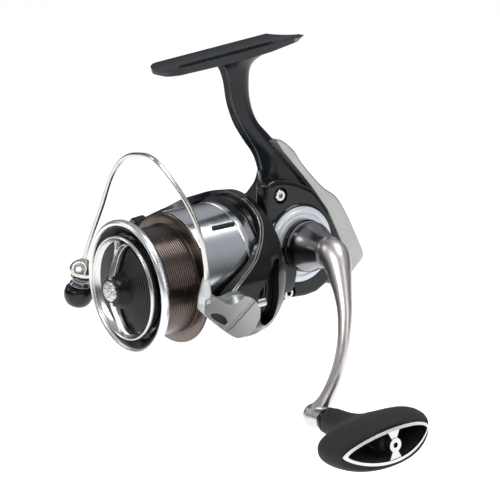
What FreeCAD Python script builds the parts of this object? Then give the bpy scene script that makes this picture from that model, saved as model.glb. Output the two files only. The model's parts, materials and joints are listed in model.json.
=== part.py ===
import FreeCAD, Part
import math
import os
import re
import Sketcher
from FreeCAD import Placement, Rotation, Vector

# A spinning reel.  Every piece is drawn about the spool axis, which is Y with the drag knob towards -Y,
# the handle towards +X and the rod foot towards +Z, and is then moved so that the middle of the
# foot's seat is the origin.  Lengths are millimetres.

SIZES = [
    ("seat_height", 83.1), ("seat_back", 17.2), ("foot_tilt", 4.4),
    ("foot_length", 67.0), ("foot_width", 18.2),
    ("lip_radius", 25.5), ("lip_front", 70.2), ("barrel_radius", 20.5), ("barrel_wall", 1.4),
    ("flange_front", 50.1), ("flange_thick", 1.0), ("skirt_radius", 24.9), ("skirt_wall", 1.1),
    ("skirt_rear", 25.4), ("knob_radius", 20.0), ("button_tip", 77.9),
    ("shaft_radius", 1.85), ("run_gap", 0.05),
    ("rotor_radius", 28.8), ("rotor_rear", 16.0), ("rotor_front", 26.0), ("cup_radius", 23.0),
    ("arm_inner", 27.4), ("arm_outer", 32.6), ("pivot_front", 40.0), ("bail_turn", 16.2),
    ("pivot_radius", 2.2), ("roller_front", 65.4), ("roller_tilt", 4.0), ("wire_radius", 0.9),
    ("drive_height", 6.4), ("gear_teeth", 36), ("pinion_teeth", 9), ("worm_teeth", 14),
    ("mesh_front", 13.6), ("mesh_width", 2.4),
    ("drive_radius", 3.5), ("bearing_wall", 2.4), ("bearing_width", 3.0),
    ("plate_radius", 14.7), ("plate_face", 17.0), ("body_half", 14.0), ("body_wall", 1.3),
    ("collar_radius", 19.4), ("nose_radius", 12.6), ("nose_front", 25.6), ("case_front", 15.1),
    ("crank_radius", 60.0), ("arm_turn", -20.4), ("grip_half", 23.2), ("grip_height", 10.0), ("grip_tilt", 3.2),
    ("grip_end", 95.0), ("pin_radius", 2.0),
]
ALIASES = {name for name, _ in SIZES}

doc = FreeCAD.newDocument("spinning_reel")
sheet = doc.addObject("Spreadsheet::Sheet", "sizes")
for row, (name, value) in enumerate(SIZES, 1):
    sheet.set(f"A{row}", name)
    sheet.set(f"B{row}", str(value))
    sheet.setAlias(f"B{row}", name)
doc.recompute()

pieces = []


def bound(expression):
    """The expression with each size's name pointing at its cell."""
    def cell(match):
        word = match.group(0)
        return f"sizes.{word}" if word in ALIASES else word
    return re.sub(r"[a-z][a-z_]+", cell, str(expression))


def size(expression):
    """The present value of an expression of sizes."""
    return float(sheet.evalExpression(bound(expression)))


def row_place(thing, at=(0, 0, 0), turn=None):
    """Put a thing drawn about the spool axis into the foot's frame; at is its own origin."""
    thing.Placement = Placement(Vector(*[size(value) for value in at]), turn or Rotation())
    thing.setExpression("Placement.Base.x", bound(at[0]))
    thing.setExpression("Placement.Base.y", bound(f"({at[1]}) + seat_back"))
    thing.setExpression("Placement.Base.z", bound(f"({at[2]}) - seat_height"))


def named(thing, label, at=(0, 0, 0), turn=None):
    """Give a finished sub-part its name and place."""
    row_place(thing, at, turn)
    thing.Label = label
    pieces.append(thing)
    return thing


def about_x(angle):
    return Rotation(Vector(1, 0, 0), size(angle))


def about_y(angle):
    return Rotation(Vector(0, 1, 0), size(angle))


# ---- tools for PartDesign bodies

def new_body(label):
    body = doc.addObject("PartDesign::Body", label)
    body.AllowCompound = True
    return body


def new_sketch(body, role, offset=0):
    """A sketch on one of the body's own origin planes, moved along the plane's normal."""
    sketch = body.newObject("Sketcher::SketchObject", "sketch")
    plane = [item for item in body.Origin.OriginFeatures if item.Role == role][0]
    sketch.AttachmentSupport = [(plane, "")]
    sketch.MapMode = "FlatFace"
    sketch.setExpression("AttachmentOffset.Base.z", bound(offset))
    return sketch


def draw_outline(sketch, points):
    """A closed outline whose corners are bound to the sizes."""
    first = sketch.GeometryCount
    corners = [Vector(size(across), size(along), 0) for across, along in points]
    count = len(points)
    for index in range(count):
        sketch.addGeometry(Part.LineSegment(corners[index], corners[(index + 1) % count]), False)
    for index, (across, along) in enumerate(points):
        edge = first + index
        sketch.addConstraint(Sketcher.Constraint("Coincident", edge, 2, first + (index + 1) % count, 1))
        for kind, value, wanted in (("DistanceX", corners[index].x, across),
            ("DistanceY", corners[index].y, along)):
            number = sketch.addConstraint(Sketcher.Constraint(kind, edge, 1, value))
            sketch.setExpression(f"Constraints[{number}]", bound(wanted))


def draw_circle(sketch, across, along, radius):
    """A circle whose centre and radius are bound to the sizes."""
    circle = Part.Circle(Vector(size(across), size(along), 0), Vector(0, 0, 1), size(radius))
    edge = sketch.addGeometry(circle, False)
    for kind, wanted in (("DistanceX", across), ("DistanceY", along)):
        number = sketch.addConstraint(Sketcher.Constraint(kind, edge, 3, size(wanted)))
        sketch.setExpression(f"Constraints[{number}]", bound(wanted))
    number = sketch.addConstraint(Sketcher.Constraint("Radius", edge, size(radius)))
    sketch.setExpression(f"Constraints[{number}]", bound(radius))


def turned_body(label, outlines, axis="Y"):
    """A body turned about its own Y or X axis from outlines of (radius, distance along the axis)."""
    body = new_body(label)
    sketch = new_sketch(body, "XY_Plane")
    for outline in outlines:
        if axis == "Y":
            draw_outline(sketch, outline)
        else:
            draw_outline(sketch, [(along, radius) for radius, along in outline])
    turn = body.newObject("PartDesign::Revolution", "turn")
    turn.Profile = sketch
    turn.ReferenceAxis = (sketch, ["V_Axis" if axis == "Y" else "H_Axis"])
    turn.Angle = 360
    return body


def tube(inner, outer, start, end):
    """The outline of a plain ring; the distances run along its axis."""
    return [(inner, start), (outer, start), (outer, end), (inner, end)]


def padded(body, role, offset, length, outline=None, circles=()):
    """A pad on an origin plane, from offset along its normal."""
    sketch = new_sketch(body, role, offset)
    if outline:
        draw_outline(sketch, outline)
    for across, along, radius in circles:
        draw_circle(sketch, across, along, radius)
    pad = body.newObject("PartDesign::Pad", "pad")
    pad.Profile = sketch
    pad.setExpression("Length", bound(length))
    return pad


def pocketed(body, role, offset, length, outline=None, circles=()):
    """A pocket cut along the plane's normal, from offset onwards; it must remove something."""
    doc.recompute()
    before = body.Shape.Volume
    sketch = new_sketch(body, role, offset)
    if outline:
        draw_outline(sketch, outline)
    for across, along, radius in circles:
        draw_circle(sketch, across, along, radius)
    pocket = body.newObject("PartDesign::Pocket", "pocket")
    pocket.Profile = sketch
    pocket.Reversed = True
    pocket.setExpression("Length", bound(length))
    doc.recompute()
    if body.Shape.Volume >= before - 1e-6:
        raise RuntimeError(f"a pocket of {body.Name} cuts nothing")
    return pocket


def repeated(body, feature, count, axis_role):
    """Repeat a feature round one of the body's own axes."""
    doc.recompute()
    axis = [item for item in body.Origin.OriginFeatures if item.Role == axis_role][0]
    pattern = body.newObject("PartDesign::PolarPattern", "pattern")
    pattern.Originals = [feature]
    pattern.Axis = (axis, [""])
    pattern.Angle = 360
    pattern.setExpression("Occurrences", bound(count))
    body.Tip = pattern
    return pattern


def softened(body, radius, wanted):
    """Round the edges of the body's tip that the test wants."""
    doc.recompute()
    base = body.Tip
    edges = [f"Edge{number}" for number, edge in enumerate(base.Shape.Edges, 1) if wanted(edge)]
    fillet = body.newObject("PartDesign::Fillet", "fillet")
    fillet.Base = (base, edges)
    fillet.setExpression("Radius", bound(radius))
    doc.recompute()
    return fillet


def runs_along(axis):
    """A test for straight edges that run along an axis."""
    def wanted(edge):
        ends = edge.Vertexes
        if len(ends) < 2 or edge.Curve.TypeId != "Part::GeomLine":
            return False
        return abs((ends[1].Point - ends[0].Point).normalize().dot(axis)) > 0.999
    return wanted


# ---- tools for shapes made with Part

def solid(name, shape):
    """A document object that holds a shape."""
    thing = doc.addObject("Part::Feature", name)
    thing.Shape = shape
    return thing


def boolean(kind, name, things):
    """A Part boolean of document objects: the first less the others, or all together."""
    thing = doc.addObject(kind, name)
    if kind == "Part::Cut":
        thing.Base, thing.Tool = things
    else:
        thing.Shapes = things
    return thing


def oval_wire(centre, half_x, half_y, normal=Vector(0, 0, 1), along=Vector(1, 0, 0)):
    """An ellipse with half_x along the given direction."""
    across = normal.cross(along)
    if half_x >= half_y:
        ellipse = Part.Ellipse(centre + along * half_x, centre + across * half_y, centre)
    else:
        ellipse = Part.Ellipse(centre + across * half_y, centre - along * half_x, centre)
    return Part.Wire([ellipse.toShape()])


def lofted(wires):
    return Part.makeLoft(wires, True)


def rounded_path(points):
    """Straight runs joined by tangent arcs that are as large as their runs allow."""
    corners = [Vector(*[size(value) for value in point]) for point in points]
    edges = []
    start = corners[0]
    for before, corner, after in zip(corners, corners[1:], corners[2:]):
        inward = (before - corner).normalize()
        outward = (after - corner).normalize()
        reach = 0.45 * min((before - corner).Length, (after - corner).Length)
        enter = corner + inward * reach
        leave = corner + outward * reach
        middle_way = (inward + outward).normalize()
        half_angle = inward.getAngle(outward) / 2
        radius = reach * math.tan(half_angle)
        centre = corner + middle_way * (reach / math.cos(half_angle))
        middle = centre - middle_way * radius
        edges.append(Part.LineSegment(start, enter).toShape())
        edges.append(Part.Arc(enter, middle, leave).toShape())
        start = leave
    edges.append(Part.LineSegment(start, corners[-1]).toShape())
    return Part.Wire(edges)


def swept(points, radius):
    """A round bar along a rounded path."""
    path = rounded_path(points)
    start = Vector(*[size(value) for value in points[0]])
    direction = Vector(*[size(value) for value in points[1]]) - start
    section = Part.Wire([Part.Circle(start, direction, size(radius)).toShape()])
    return path.makePipeShell([section], True, True)


# ---- the stationary body: housing, stem, foot and covers

NECK = "(mesh_front * pinion_teeth / gear_teeth - 0.3)"
NOSE_BORE = f"{NECK} + 3.5"
WORM_ANGLE = 222
BUSH_RADIUS = 3.2
ROD_PLACE = (0.6, -10.8)
ROD_RADIUS = 1.0
SCREW_PLACES = [(-7.5, 26.5), (-5.6, -12.2)]
COVER_FACE = "plate_face - 1.6"


def worm_place():
    """The worm's axis, one centre distance from the spool axis."""
    distance = size("mesh_front * 2 / gear_teeth * (pinion_teeth + worm_teeth) / 2") + 0.12
    angle = math.radians(WORM_ANGLE)
    return distance * math.cos(angle), distance * math.sin(angle)


BODY_OUTLINE = [
    ("-case_front", 21.5), (-9.4, 25), (-4.6, 33), (1, 43.5), (9.5, 38.2), (18, 26.8), (31, 13),
    (39.2, -4), (40.6, -9.5), (37.6, -13.2), (26, -17), (16, -18.2), (2, -15.4), (-9, -14.4),
    ("-case_front", -12.6),
]
CAVITY_OUTLINE = [
    ("-case_front + 0.9", 19.2), (-7.2, 23), (-1, 26.2), (10, 26.2), (17, 23.4), (28.6, 11.4), (36.6, -4.4),
    (37, -8.4), (25.4, -14.6), (16, -15.6), (3, -13.2), ("-case_front + 0.9", -11.9),
]


def housing():
    """The hollow main case, open towards the handle, with the nose that carries the rotor."""
    body = new_body("housing")
    padded(body, "YZ_Plane", "-body_half", "body_half + 8", BODY_OUTLINE)
    softened(body, 2.5, lambda edge: abs(edge.CenterOfMass.x + size("body_half")) < 0.01)
    padded(body, "XZ_Plane", "case_front", 5.0, None, [(0, 0, "collar_radius")])
    padded(body, "XZ_Plane", "case_front + 4", "nose_front - case_front - 4", None, [(0, 0, "nose_radius")])
    pocketed(body, "YZ_Plane", "-body_half + body_wall", "body_half + 20", CAVITY_OUTLINE)
    pocketed(body, "XZ_Plane", "case_front - 2", 6, None, [(0, 0, "collar_radius - 0.9")])
    pocketed(body, "XZ_Plane", "case_front - 2", 20, None, [(0, 0, NOSE_BORE)])
    pocketed(body, "YZ_Plane", "-body_half - 1", 10, None,
        [(0, "drive_height", "drive_radius + bearing_wall")])
    across, up = worm_place()
    padded(body, "XZ_Plane", -30.6, 2.4, [(-12.5, -15.2), (3, -15.2), (3, -4), (-4, 2), (-12.5, 2)])
    pocketed(body, "XZ_Plane", -31, 3, None,
        [(across, up, BUSH_RADIUS), (ROD_PLACE[0], ROD_PLACE[1], ROD_RADIUS)])
    return body


def stem():
    """The curved leg from the case up to the foot, drawn from level ovals."""
    stations = [
        (27, 3.0, 7.6, 9.0), (33, 2.6, 7.4, 8.2), (40, -1.4, 6.6, 6.2), (47, -7.0, 5.6, 5.5),
        (54, -12.4, 4.6, 4.5),
        (62, -14.7, 4.2, 5.0), (70, -15.3, 4.2, 5.4), (76, -15.8, 5.0, 7.3), (80.4, -15.4, 6.4, 11.5),
    ]
    wires = [oval_wire(Vector(0, middle, height), wide, deep) for height, middle, wide, deep in stations]
    return solid("stem", lofted(wires))


def foot():
    """The long blade that the rod's seat clamps; its top is a shallow trough."""
    plan = new_body("foot_plan")
    end = "foot_length / 2"
    half = "foot_width / 2"
    padded(plan, "XY_Plane", -6, 8, [
        (f"-{half} + 5.2", f"-{end}"), (f"{half} - 5.2", f"-{end}"), (f"{half} - 1.6", f"-{end} + 4"),
        (half, f"-{end} + 12"), (half, 8), (f"{half} - 1.6", 20), (3.2, end), (-3.2, end),
        (f"-{half} + 1.6", 20), (f"-{half}", 8), (f"-{half}", f"-{end} + 12"),
        (f"-{half} + 1.6", f"-{end} + 4"),
    ])
    side = new_body("foot_side")
    padded(side, "YZ_Plane", "-foot_width", "2 * foot_width", [
        (f"-{end}", -2.6), (-14, -4.4), (14, -4.4), (end, -2.2), (end, 0), (f"-{end}", 0),
    ])
    blade = boolean("Part::MultiCommon", "foot_blade", [plan, side])
    trough = doc.addObject("Part::Cylinder", "foot_trough")
    trough.Radius = 24
    trough.Height = 90
    trough.Placement = Placement(Vector(0, 45, 24 - 1.75), Rotation(Vector(1, 0, 0), 90))
    foot_cut = boolean("Part::Cut", "foot", [blade, trough])
    foot_cut.Placement = Placement(Vector(0, -size("seat_back"), size("seat_height")), about_x("foot_tilt"))
    return foot_cut


def body_frame():
    named(boolean("Part::MultiFuse", "frame", [housing(), stem(), foot()]), "body_frame")


def side_cover():
    """The glossy cover on the handle side, with a round opening for the engine plate."""
    body = new_body("cover")
    padded(body, "YZ_Plane", 8.05, f"{COVER_FACE} - 8.05", [
        ("-case_front", 20), (-12, 25.6), (-6.6, 31.5), (-1.8, 37), (10, 27.5), (18.5, 16.5), (23, 6.1),
        (25, -1),
        (23, -11.6), (18.7, -13), (8.5, -15.4), (3, -15.2), (-9, -14.2), ("-case_front", -11.6),
    ])
    softened(body, 1.4, lambda edge: abs(edge.CenterOfMass.x - size(COVER_FACE)) < 0.01)
    pocketed(body, "YZ_Plane", 7, "plate_face", None, [(0, "drive_height", "plate_radius + 0.1")])
    pocketed(body, "YZ_Plane", 7, "plate_face", None, [(y, z, 1.02) for y, z in SCREW_PLACES])
    named(body, "side_cover")


def engine_plate():
    """The screwed-in round plate that carries the handle-side bearing."""
    inner = "drive_radius + bearing_wall + 0.02"
    outline = [
        (inner, 9.4), ("plate_radius", 9.4), ("plate_radius", "plate_face - 0.8"),
        ("plate_radius - 0.8", "plate_face"),
        ("plate_radius - 2.6", "plate_face"), ("plate_radius - 3.0", "plate_face + 0.5"),
        ("plate_radius - 4.2", "plate_face + 0.5"), ("plate_radius - 4.6", "plate_face + 1.1"),
        (9.2, "plate_face + 1.1"), (8.8, "plate_face + 0.4"), (inner, "plate_face + 0.4"),
    ]
    named(turned_body("plate", [outline], "X"), "engine_plate", (0, 0, "drive_height"))


def left_cap():
    """The screw cap over the drive shaft's far end."""
    radius = "drive_radius + bearing_wall + 2.4"
    outline = [
        (0, "-body_half - 3.4"), (f"{radius} - 1.2", "-body_half - 3.4"), (radius, "-body_half - 2.4"),
        (radius, "-body_half - 0.05"), (f"{radius} - 2.5", "-body_half - 0.05"),
        (f"{radius} - 2.5", "-body_half + 0.3"),
        ("drive_radius + 0.6", "-body_half + 0.3"), ("drive_radius + 0.6", "-body_half - 1.6"),
        (0, "-body_half - 1.6"),
    ]
    named(turned_body("cap", [outline], "X"), "left_cap", (0, 0, "drive_height"))


def rear_protector():
    """The pearl band that wraps the case's back."""
    outer = [
        (2.2, 45.6), (5.3, 43.9), (10.9, 39.1), (14.1, 34.2), (19.6, 27.2), (24.8, 21.5), (33, 13.2),
        (37.7, 5.4), (41.5, -2.7),
        (43.3, -8), (43.1, -11.2), (40.4, -14), (36.7, -15.8), (26.4, -19.1), (16.2, -20.3),
    ]
    inner = [
        (16.2, -18.5), (26, -17.3), (37.8, -13.5), (40.9, -9.6), (39.5, -3.9), (31.2, 13.3), (18.2, 27.1),
        (9.7, 38.5), (2.6, 43.2),
    ]
    wall_front = [
        (25.2, -19.1), (24.6, -11.9), (26.6, -1), (24.5, 6.7), (19.8, 17.4), (11.1, 28.7), (2.2, 37.5),
    ]
    body = new_body("protector")
    padded(body, "YZ_Plane", -10.5, 21, outer + inner)
    padded(body, "YZ_Plane", "body_half - 5.95", 2.45, outer[:14] + wall_front)
    named(body, "rear_protector")


def cover_screws():
    """The cap screws that hold the side cover; each head stands on the cover's face."""
    group = []
    for along, up in SCREW_PLACES:
        outline = [(0, -6), (1.0, -6), (1.0, -1.3), (1.7, -1.3), (1.7, -0.25), (1.45, 0), (0.85, 0),
            (0.85, -0.7), (0, -0.7)]
        body = turned_body("screw", [outline], "X")
        body.Placement = Placement(Vector(size(COVER_FACE) + 1.32, along, up), Rotation())
        group.append(body)
    compound = doc.addObject("Part::Compound", "screws")
    compound.Links = group
    named(compound, "cover_screws")


# ---- the drive: crank, gears and the cross-wind worm

def drive_bearings():
    """The two bearings that carry the drive shaft, one in the plate and one in the case."""
    outlines = [tube("drive_radius", "drive_radius + bearing_wall - 0.01", start, f"{start} + bearing_width")
                for start in ("9.5", "-body_half + 0.4")]
    named(turned_body("drive_races", outlines, "X"), "drive_bearings", (0, 0, "drive_height"))


def drive_gear():
    """A face gear: each tooth is a straight ridge tangent to a circle as big as the shafts' offset."""
    face = "mesh_front * pinion_teeth / gear_teeth"
    outer = size("sqrt((mesh_front + mesh_width / 2)^2 + drive_height^2)") + 0.4
    body = turned_body("gear", [[
        ("drive_radius - 0.6", f"{face} + 1.0"), (outer, f"{face} + 1.0"), (outer, f"{face} + 2.6"),
        (8, f"{face} + 2.6"),
        (7, 9), ("drive_radius - 0.6", 9),
    ]], "X")
    front, back = "-mesh_front - mesh_width / 2", "-mesh_front + mesh_width / 2"
    low, high = "-drive_height - 0.34", "-drive_height + 0.34"
    tooth = padded(body, "YZ_Plane", f"{face} - 0.45", 2.0,
        [(front, low), (back, low), (back, high), (front, high)])
    repeated(body, tooth, "gear_teeth", "X_Axis")
    named(body, "drive_gear", (0, 0, "drive_height"))


def drive_shaft():
    """The shaft that the gear is fixed to; the handle screws into its near end."""
    outline = [(0, "-body_half - 0.6"), ("drive_radius - 0.05", "-body_half - 0.6"),
        ("drive_radius - 0.05", 2),
               ("drive_radius - 0.65", 2), ("drive_radius - 0.65", 9.05), ("drive_radius - 0.05", 9.05),
               ("drive_radius - 0.05", 21.4), (0, 21.4)]
    named(turned_body("drive", [outline], "X"), "drive_shaft", (0, 0, "drive_height"))


def toothed_wheel(label, root, tip, count, start, width, bore):
    """A straight-toothed wheel on Y: a tube with tapered ridges."""
    body = turned_body(label, [tube(bore, root, f"-({start}) - {width}", f"-({start})")])
    tooth = padded(body, "XZ_Plane", start, width, [
        (-0.52, f"{root} - 0.2"), (0.52, f"{root} - 0.2"), (0.32, tip), (-0.32, tip),
    ])
    repeated(body, tooth, count, "Y_Axis")
    return body


def pinion_gear():
    """The hollow pinion behind the rotor: teeth at the back, a plain neck through the bearings."""
    pitch = "mesh_front * pinion_teeth / gear_teeth"
    start = "mesh_front - mesh_width / 2 - 3.2"
    body = toothed_wheel("pinion", f"{pitch} - 0.8", f"{pitch} + 0.56", "pinion_teeth", start,
        "mesh_width + 3.4",
                         "shaft_radius + run_gap")
    neck = turned_body("neck",
        [tube("shaft_radius + run_gap", NECK, -31.5, "-mesh_front - mesh_width / 2 - 0.1")])
    body.Placement = Placement(Vector(), Rotation(Vector(0, 1, 0), size("180 / pinion_teeth") + 90))
    named(boolean("Part::MultiFuse", "pinion_whole", [body, neck]), "pinion_gear")


def worm_gear():
    """The wheel that the pinion's back teeth turn."""
    pitch = "mesh_front / gear_teeth * worm_teeth"
    body = toothed_wheel("worm_wheel", f"{pitch} - 0.9", f"{pitch} + 0.56", "worm_teeth",
                         "mesh_front - mesh_width / 2 - 3.1", 2.6, 1.4)
    across, up = worm_place()
    to_pinion = math.degrees(math.atan2(-up, -across))
    first = 90 - to_pinion
    pinion_tooth = 90 - WORM_ANGLE
    pinion_phase = (size("180 / pinion_teeth") + 90 - pinion_tooth) % size("360 / pinion_teeth")
    shift = pinion_phase * size("pinion_teeth / worm_teeth") + size("180 / worm_teeth")
    named(body, "worm_gear", (across, 0, up), Rotation(Vector(0, 1, 0), first - shift))


def worm_shaft():
    """The cross-wind shaft; the ring grooves stand for its double helical groove."""
    across, up = worm_place()
    outline = [(0, -13.9), (1.4, -13.9), (1.4, -9), (2.4, -9), (2.4, 4)]
    for turn in range(5):
        groove = 7 + 4 * turn
        outline += [(2.4, groove - 0.8), (1.8, groove - 0.4), (1.8, groove + 0.4), (2.4, groove + 0.8)]
    outline += [(2.4, 28), (1.4, 28), (1.4, 31), (0, 31)]
    named(turned_body("worm", [outline]), "worm_shaft", (across, 0, up))


def worm_bushes():
    across, up = worm_place()
    outlines = [tube("1.4 + run_gap", BUSH_RADIUS - 0.01, -14.15, -12.3),
        tube("1.4 + run_gap", BUSH_RADIUS - 0.01, 28.25, 30.5)]
    named(turned_body("bushes", outlines), "worm_bushes", (across, 0, up))


def guide_rod():
    """The plain rod that keeps the slider from turning."""
    outline = [(0, -14.15), (ROD_RADIUS - 0.01, -14.15), (ROD_RADIUS - 0.01, 30.5), (0, 30.5)]
    named(turned_body("rod", [outline]), "guide_rod", (ROD_PLACE[0], 0, ROD_PLACE[1]))


def drive():
    drive_gear()
    drive_shaft()
    drive_bearings()
    pinion_gear()
    worm_gear()
    worm_shaft()
    worm_bushes()
    guide_rod()


def nose_parts():
    """What sits in and on the case's nose, round the pinion's neck."""
    races = [tube(f"{NECK} + run_gap", f"{NECK} + 3.45", start, f"{start} + 2.3") for start in ("-22.6",
        "-25.3")]
    named(turned_body("nose_races", races), "pinion_bearings")
    named(turned_body("clutch", [tube("nose_radius + 0.05", "nose_radius + 3.4", -23.4, -20.15)]),
        "one_way_clutch")
    named(turned_body("seal", [tube(f"{NECK} + 0.1", 6.6, -26.2, -25.65)]), "pinion_seal")
    named(turned_body("brake", [tube("nose_radius + 0.05", "nose_radius + 2.0", -25.2, -23.45)]),
        "rotor_brake_ring")


# ---- the rotor and the bail

def arm_blank(sign):
    """One arm of the rotor, seen square to the bail's axis and cut from a thick tube."""
    plan = new_body("arm_plan")
    start = "10" if sign > 0 else "-50"
    padded(plan, "YZ_Plane", start, 40, [
        ("-rotor_rear - 0.5", -17), ("-rotor_front", -16), (-34, -9.5), ("-pivot_front - 4", -6.4),
        ("-pivot_front - 7", 0),
        ("-pivot_front - 4", 6.4), (-34, 9.5), ("-rotor_front", 16), ("-rotor_rear - 0.5", 17),
    ])
    ring = turned_body("arm_ring", [tube("arm_inner", "arm_outer", "-pivot_front - 8", "-rotor_rear - 0.5")])
    return boolean("Part::MultiCommon", "arm", [plan, ring])


SPRING_RADIUS = 1.7
SPRING_LENGTH = 9
SPRING_FRONT = -36.4
SPRING_ACROSS = 29.9


def rotor():
    """The cup under the spool, the ring round its foot and the two bail arms."""
    outline = [
        (f"{NECK} + 0.01", -29), (f"{NECK} + 0.01", -26.4), ("nose_radius + 4.2", -26.4),
        ("nose_radius + 4.2", "-case_front - 5.4"),
        ("collar_radius + 0.8", "-case_front - 5.4"), ("collar_radius + 0.8", "-rotor_rear + 0.4"),
        (25.4, "-rotor_rear + 0.4"),
        ("rotor_radius", "-rotor_rear - 1.6"), ("rotor_radius + 0.6", "-rotor_front + 1"),
        ("rotor_radius + 0.2", "-rotor_front"), (26.4, "-rotor_front"), (26.4, -23.6), ("cup_radius", -23.6),
        ("cup_radius", -41), ("cup_radius - 1.6", -41), ("cup_radius - 1.6", -29),
    ]
    cup = turned_body("cup", [outline])
    shell = boolean("Part::MultiFuse", "rotor_solid", [cup, arm_blank(1), arm_blank(-1)])
    bores = []
    for radius, centre, turn in (("pivot_radius", Vector(-45, -size("pivot_front"), 0), about_y(90)),
                                 (SPRING_RADIUS + 0.08, Vector(SPRING_ACROSS, SPRING_FRONT - 0.2, 0),
                                 about_x(-90))):
        bore = doc.addObject("Part::Cylinder", "bore")
        bore.setExpression("Radius", bound(radius))
        bore.Height = 90 if radius == "pivot_radius" else SPRING_LENGTH + 0.4
        bore.Placement = Placement(centre, turn)
        bores.append(bore)
    hollow = boolean("Part::MultiFuse", "bores", bores)
    named(boolean("Part::Cut", "rotor_whole", [shell, hollow]), "rotor", (0, 0, 0), about_y("bail_turn"))


def rotor_nut():
    body = new_body("nut")
    across = 6.0
    corners = [(across * math.cos(math.radians(60 * turn)),
        across * math.sin(math.radians(60 * turn))) for turn in range(6)]
    padded(body, "XZ_Plane", 29.05, 2.8, corners)
    pocketed(body, "XZ_Plane", 28, 6, None, [(0, 0, f"{NECK} + 0.01")])
    named(body, "rotor_nut")


LEVER_INNER = 33.4
LEVER_OUTER = 37.2
LEVER_FACE = 38.2
SCREW_HEAD = 1.2


def bail_pivots():
    """The two screws on which the bail swings."""
    group = []
    for sign in (1, -1):
        inner = f"{sign} * (arm_inner + 0.6)"
        head_start = LEVER_INNER + 2.2 if sign > 0 else LEVER_OUTER + 0.05
        head = f"{sign} * {head_start}"
        outer = f"{sign} * {head_start + SCREW_HEAD}"
        outline = [(0, inner), ("pivot_radius - 0.02", inner), ("pivot_radius - 0.02", head), (3.4, head),
            (3.4, outer), (0, outer)]
        group.append(turned_body("pivot", [outline], "X"))
    compound = doc.addObject("Part::Compound", "pivots")
    compound.Links = group
    named(compound, "bail_pivot_screws", (0, "-pivot_front", 0), about_y("bail_turn"))


def bail_spring():
    """The coil that snaps the bail, a closed tube standing for its turns."""
    place = about_y("bail_turn").multVec(Vector(SPRING_ACROSS, 0, 0))
    outline = tube(SPRING_RADIUS - 0.8, SPRING_RADIUS, SPRING_FRONT, SPRING_FRONT + SPRING_LENGTH)
    named(turned_body("spring", [outline]), "bail_spring", (place.x, 0, place.z), about_y("bail_turn"))


def arm_covers():
    """Thin covers over the outside of the rotor's arms, behind the bail."""
    for sign, label in ((1, "near_arm_cover"), (-1, "far_arm_cover")):
        plan = new_body("cover_plan")
        padded(plan, "YZ_Plane", "10" if sign > 0 else "-50", 40, [
            ("-rotor_rear - 2.5", -12), ("-rotor_front", -11.5), (-29.5, -7), (-30.6, 0), (-29.5, 7),
            ("-rotor_front", 11.5),
            ("-rotor_rear - 2.5", 12),
        ])
        ring = turned_body("cover_ring",
            [tube("arm_outer + 0.02", "arm_outer + 0.5", -34, "-rotor_rear - 1")])
        named(boolean("Part::MultiCommon", label, [plan, ring]), label, (0, 0, 0), about_y("bail_turn"))


LEVER_OUTLINE = [
    (-60.6, 17.6), (-58, 17.6), (-52.4, 9.8), (-46, 10.4), (-41.6, 10.3), (-37.4, 7.6), (-34.6, 3.2),
    (-34.2, -1.2), (-36, -5.4),
    (-39.4, -7.8), (-43.9, -7.8), (-47.7, -5.2), (-61.7, 6.5), (-63, 9.3),
]


# The plate that closes the lever's round end over the pivot screw.
LEVER_COVER = [
    (-38.4, 6.6), (-35.6, 2.9), (-35.2, -1), (-36.8, -4.7), (-39.8, -6.8), (-43.6, -6.8), (-47, -4.4),
    (-48.3, -3.2),
]
COVER_START = 37.0


def bail_lever():
    """The near end of the bail, which swings on the handle-side arm and holds the wire."""
    body = new_body("lever")
    padded(body, "YZ_Plane", LEVER_INNER, LEVER_FACE - LEVER_INNER, LEVER_OUTLINE)
    softened(body, 1.2, runs_along(Vector(1, 0, 0)))
    softened(body, 1.0, lambda edge: abs(edge.CenterOfMass.x - LEVER_FACE) < 0.01)
    pocketed(body, "YZ_Plane", LEVER_INNER - 1, 8, None, [("-pivot_front", 0, "pivot_radius + run_gap")])
    pocketed(body, "YZ_Plane", LEVER_INNER + 2.1, 8, None, [("-pivot_front", 0, 3.7)])
    pocketed(body, "YZ_Plane", COVER_START, 8, LEVER_COVER)
    named(body, "bail_lever", (0, 0, 0), about_y("bail_turn"))


def lever_cover():
    body = new_body("lever_plate")
    padded(body, "YZ_Plane", COVER_START + 0.01, LEVER_FACE - COVER_START - 0.01, LEVER_COVER)
    named(body, "lever_cover", (0, 0, 0), about_y("bail_turn"))


# The wire's route in the bail's own frame: along the pivot axis, along the spool axis, and across both.
WIRE_ROUTE = [
    (35.0, -60.3, 17.7), (35.0, -61.4, 25.6), (31.0, -63.2, 37.5), (23.0, -65.6, 47.5), (8.0, -68.4, 55.6),
    (-7.0, -66.0, 51.0),
    (-20.0, -62.8, 42.6), (-27.6, -61.6, 32.0), (-30.2, -62.8, 18.0), (-32.8, -64.6, 3.5),
    (-33.8, -65.7, -5.2),
]


def bail_wire():
    named(solid("wire", swept(WIRE_ROUTE, "wire_radius")), "bail_wire", (0, 0, 0), about_y("bail_turn"))


ROLLER_ACROSS = -33.8


def roller_turn():
    """The line roller's axis leans forwards at its lower end."""
    return Rotation(Vector(1, 0, 0), 90 - size("roller_tilt"))


def roller_point(along):
    """A place on the line roller's axis, in the bail's own frame."""
    return Vector(ROLLER_ACROSS, -size("roller_front"), -0.3) + roller_turn().multVec(Vector(0, along, 0))


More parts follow.
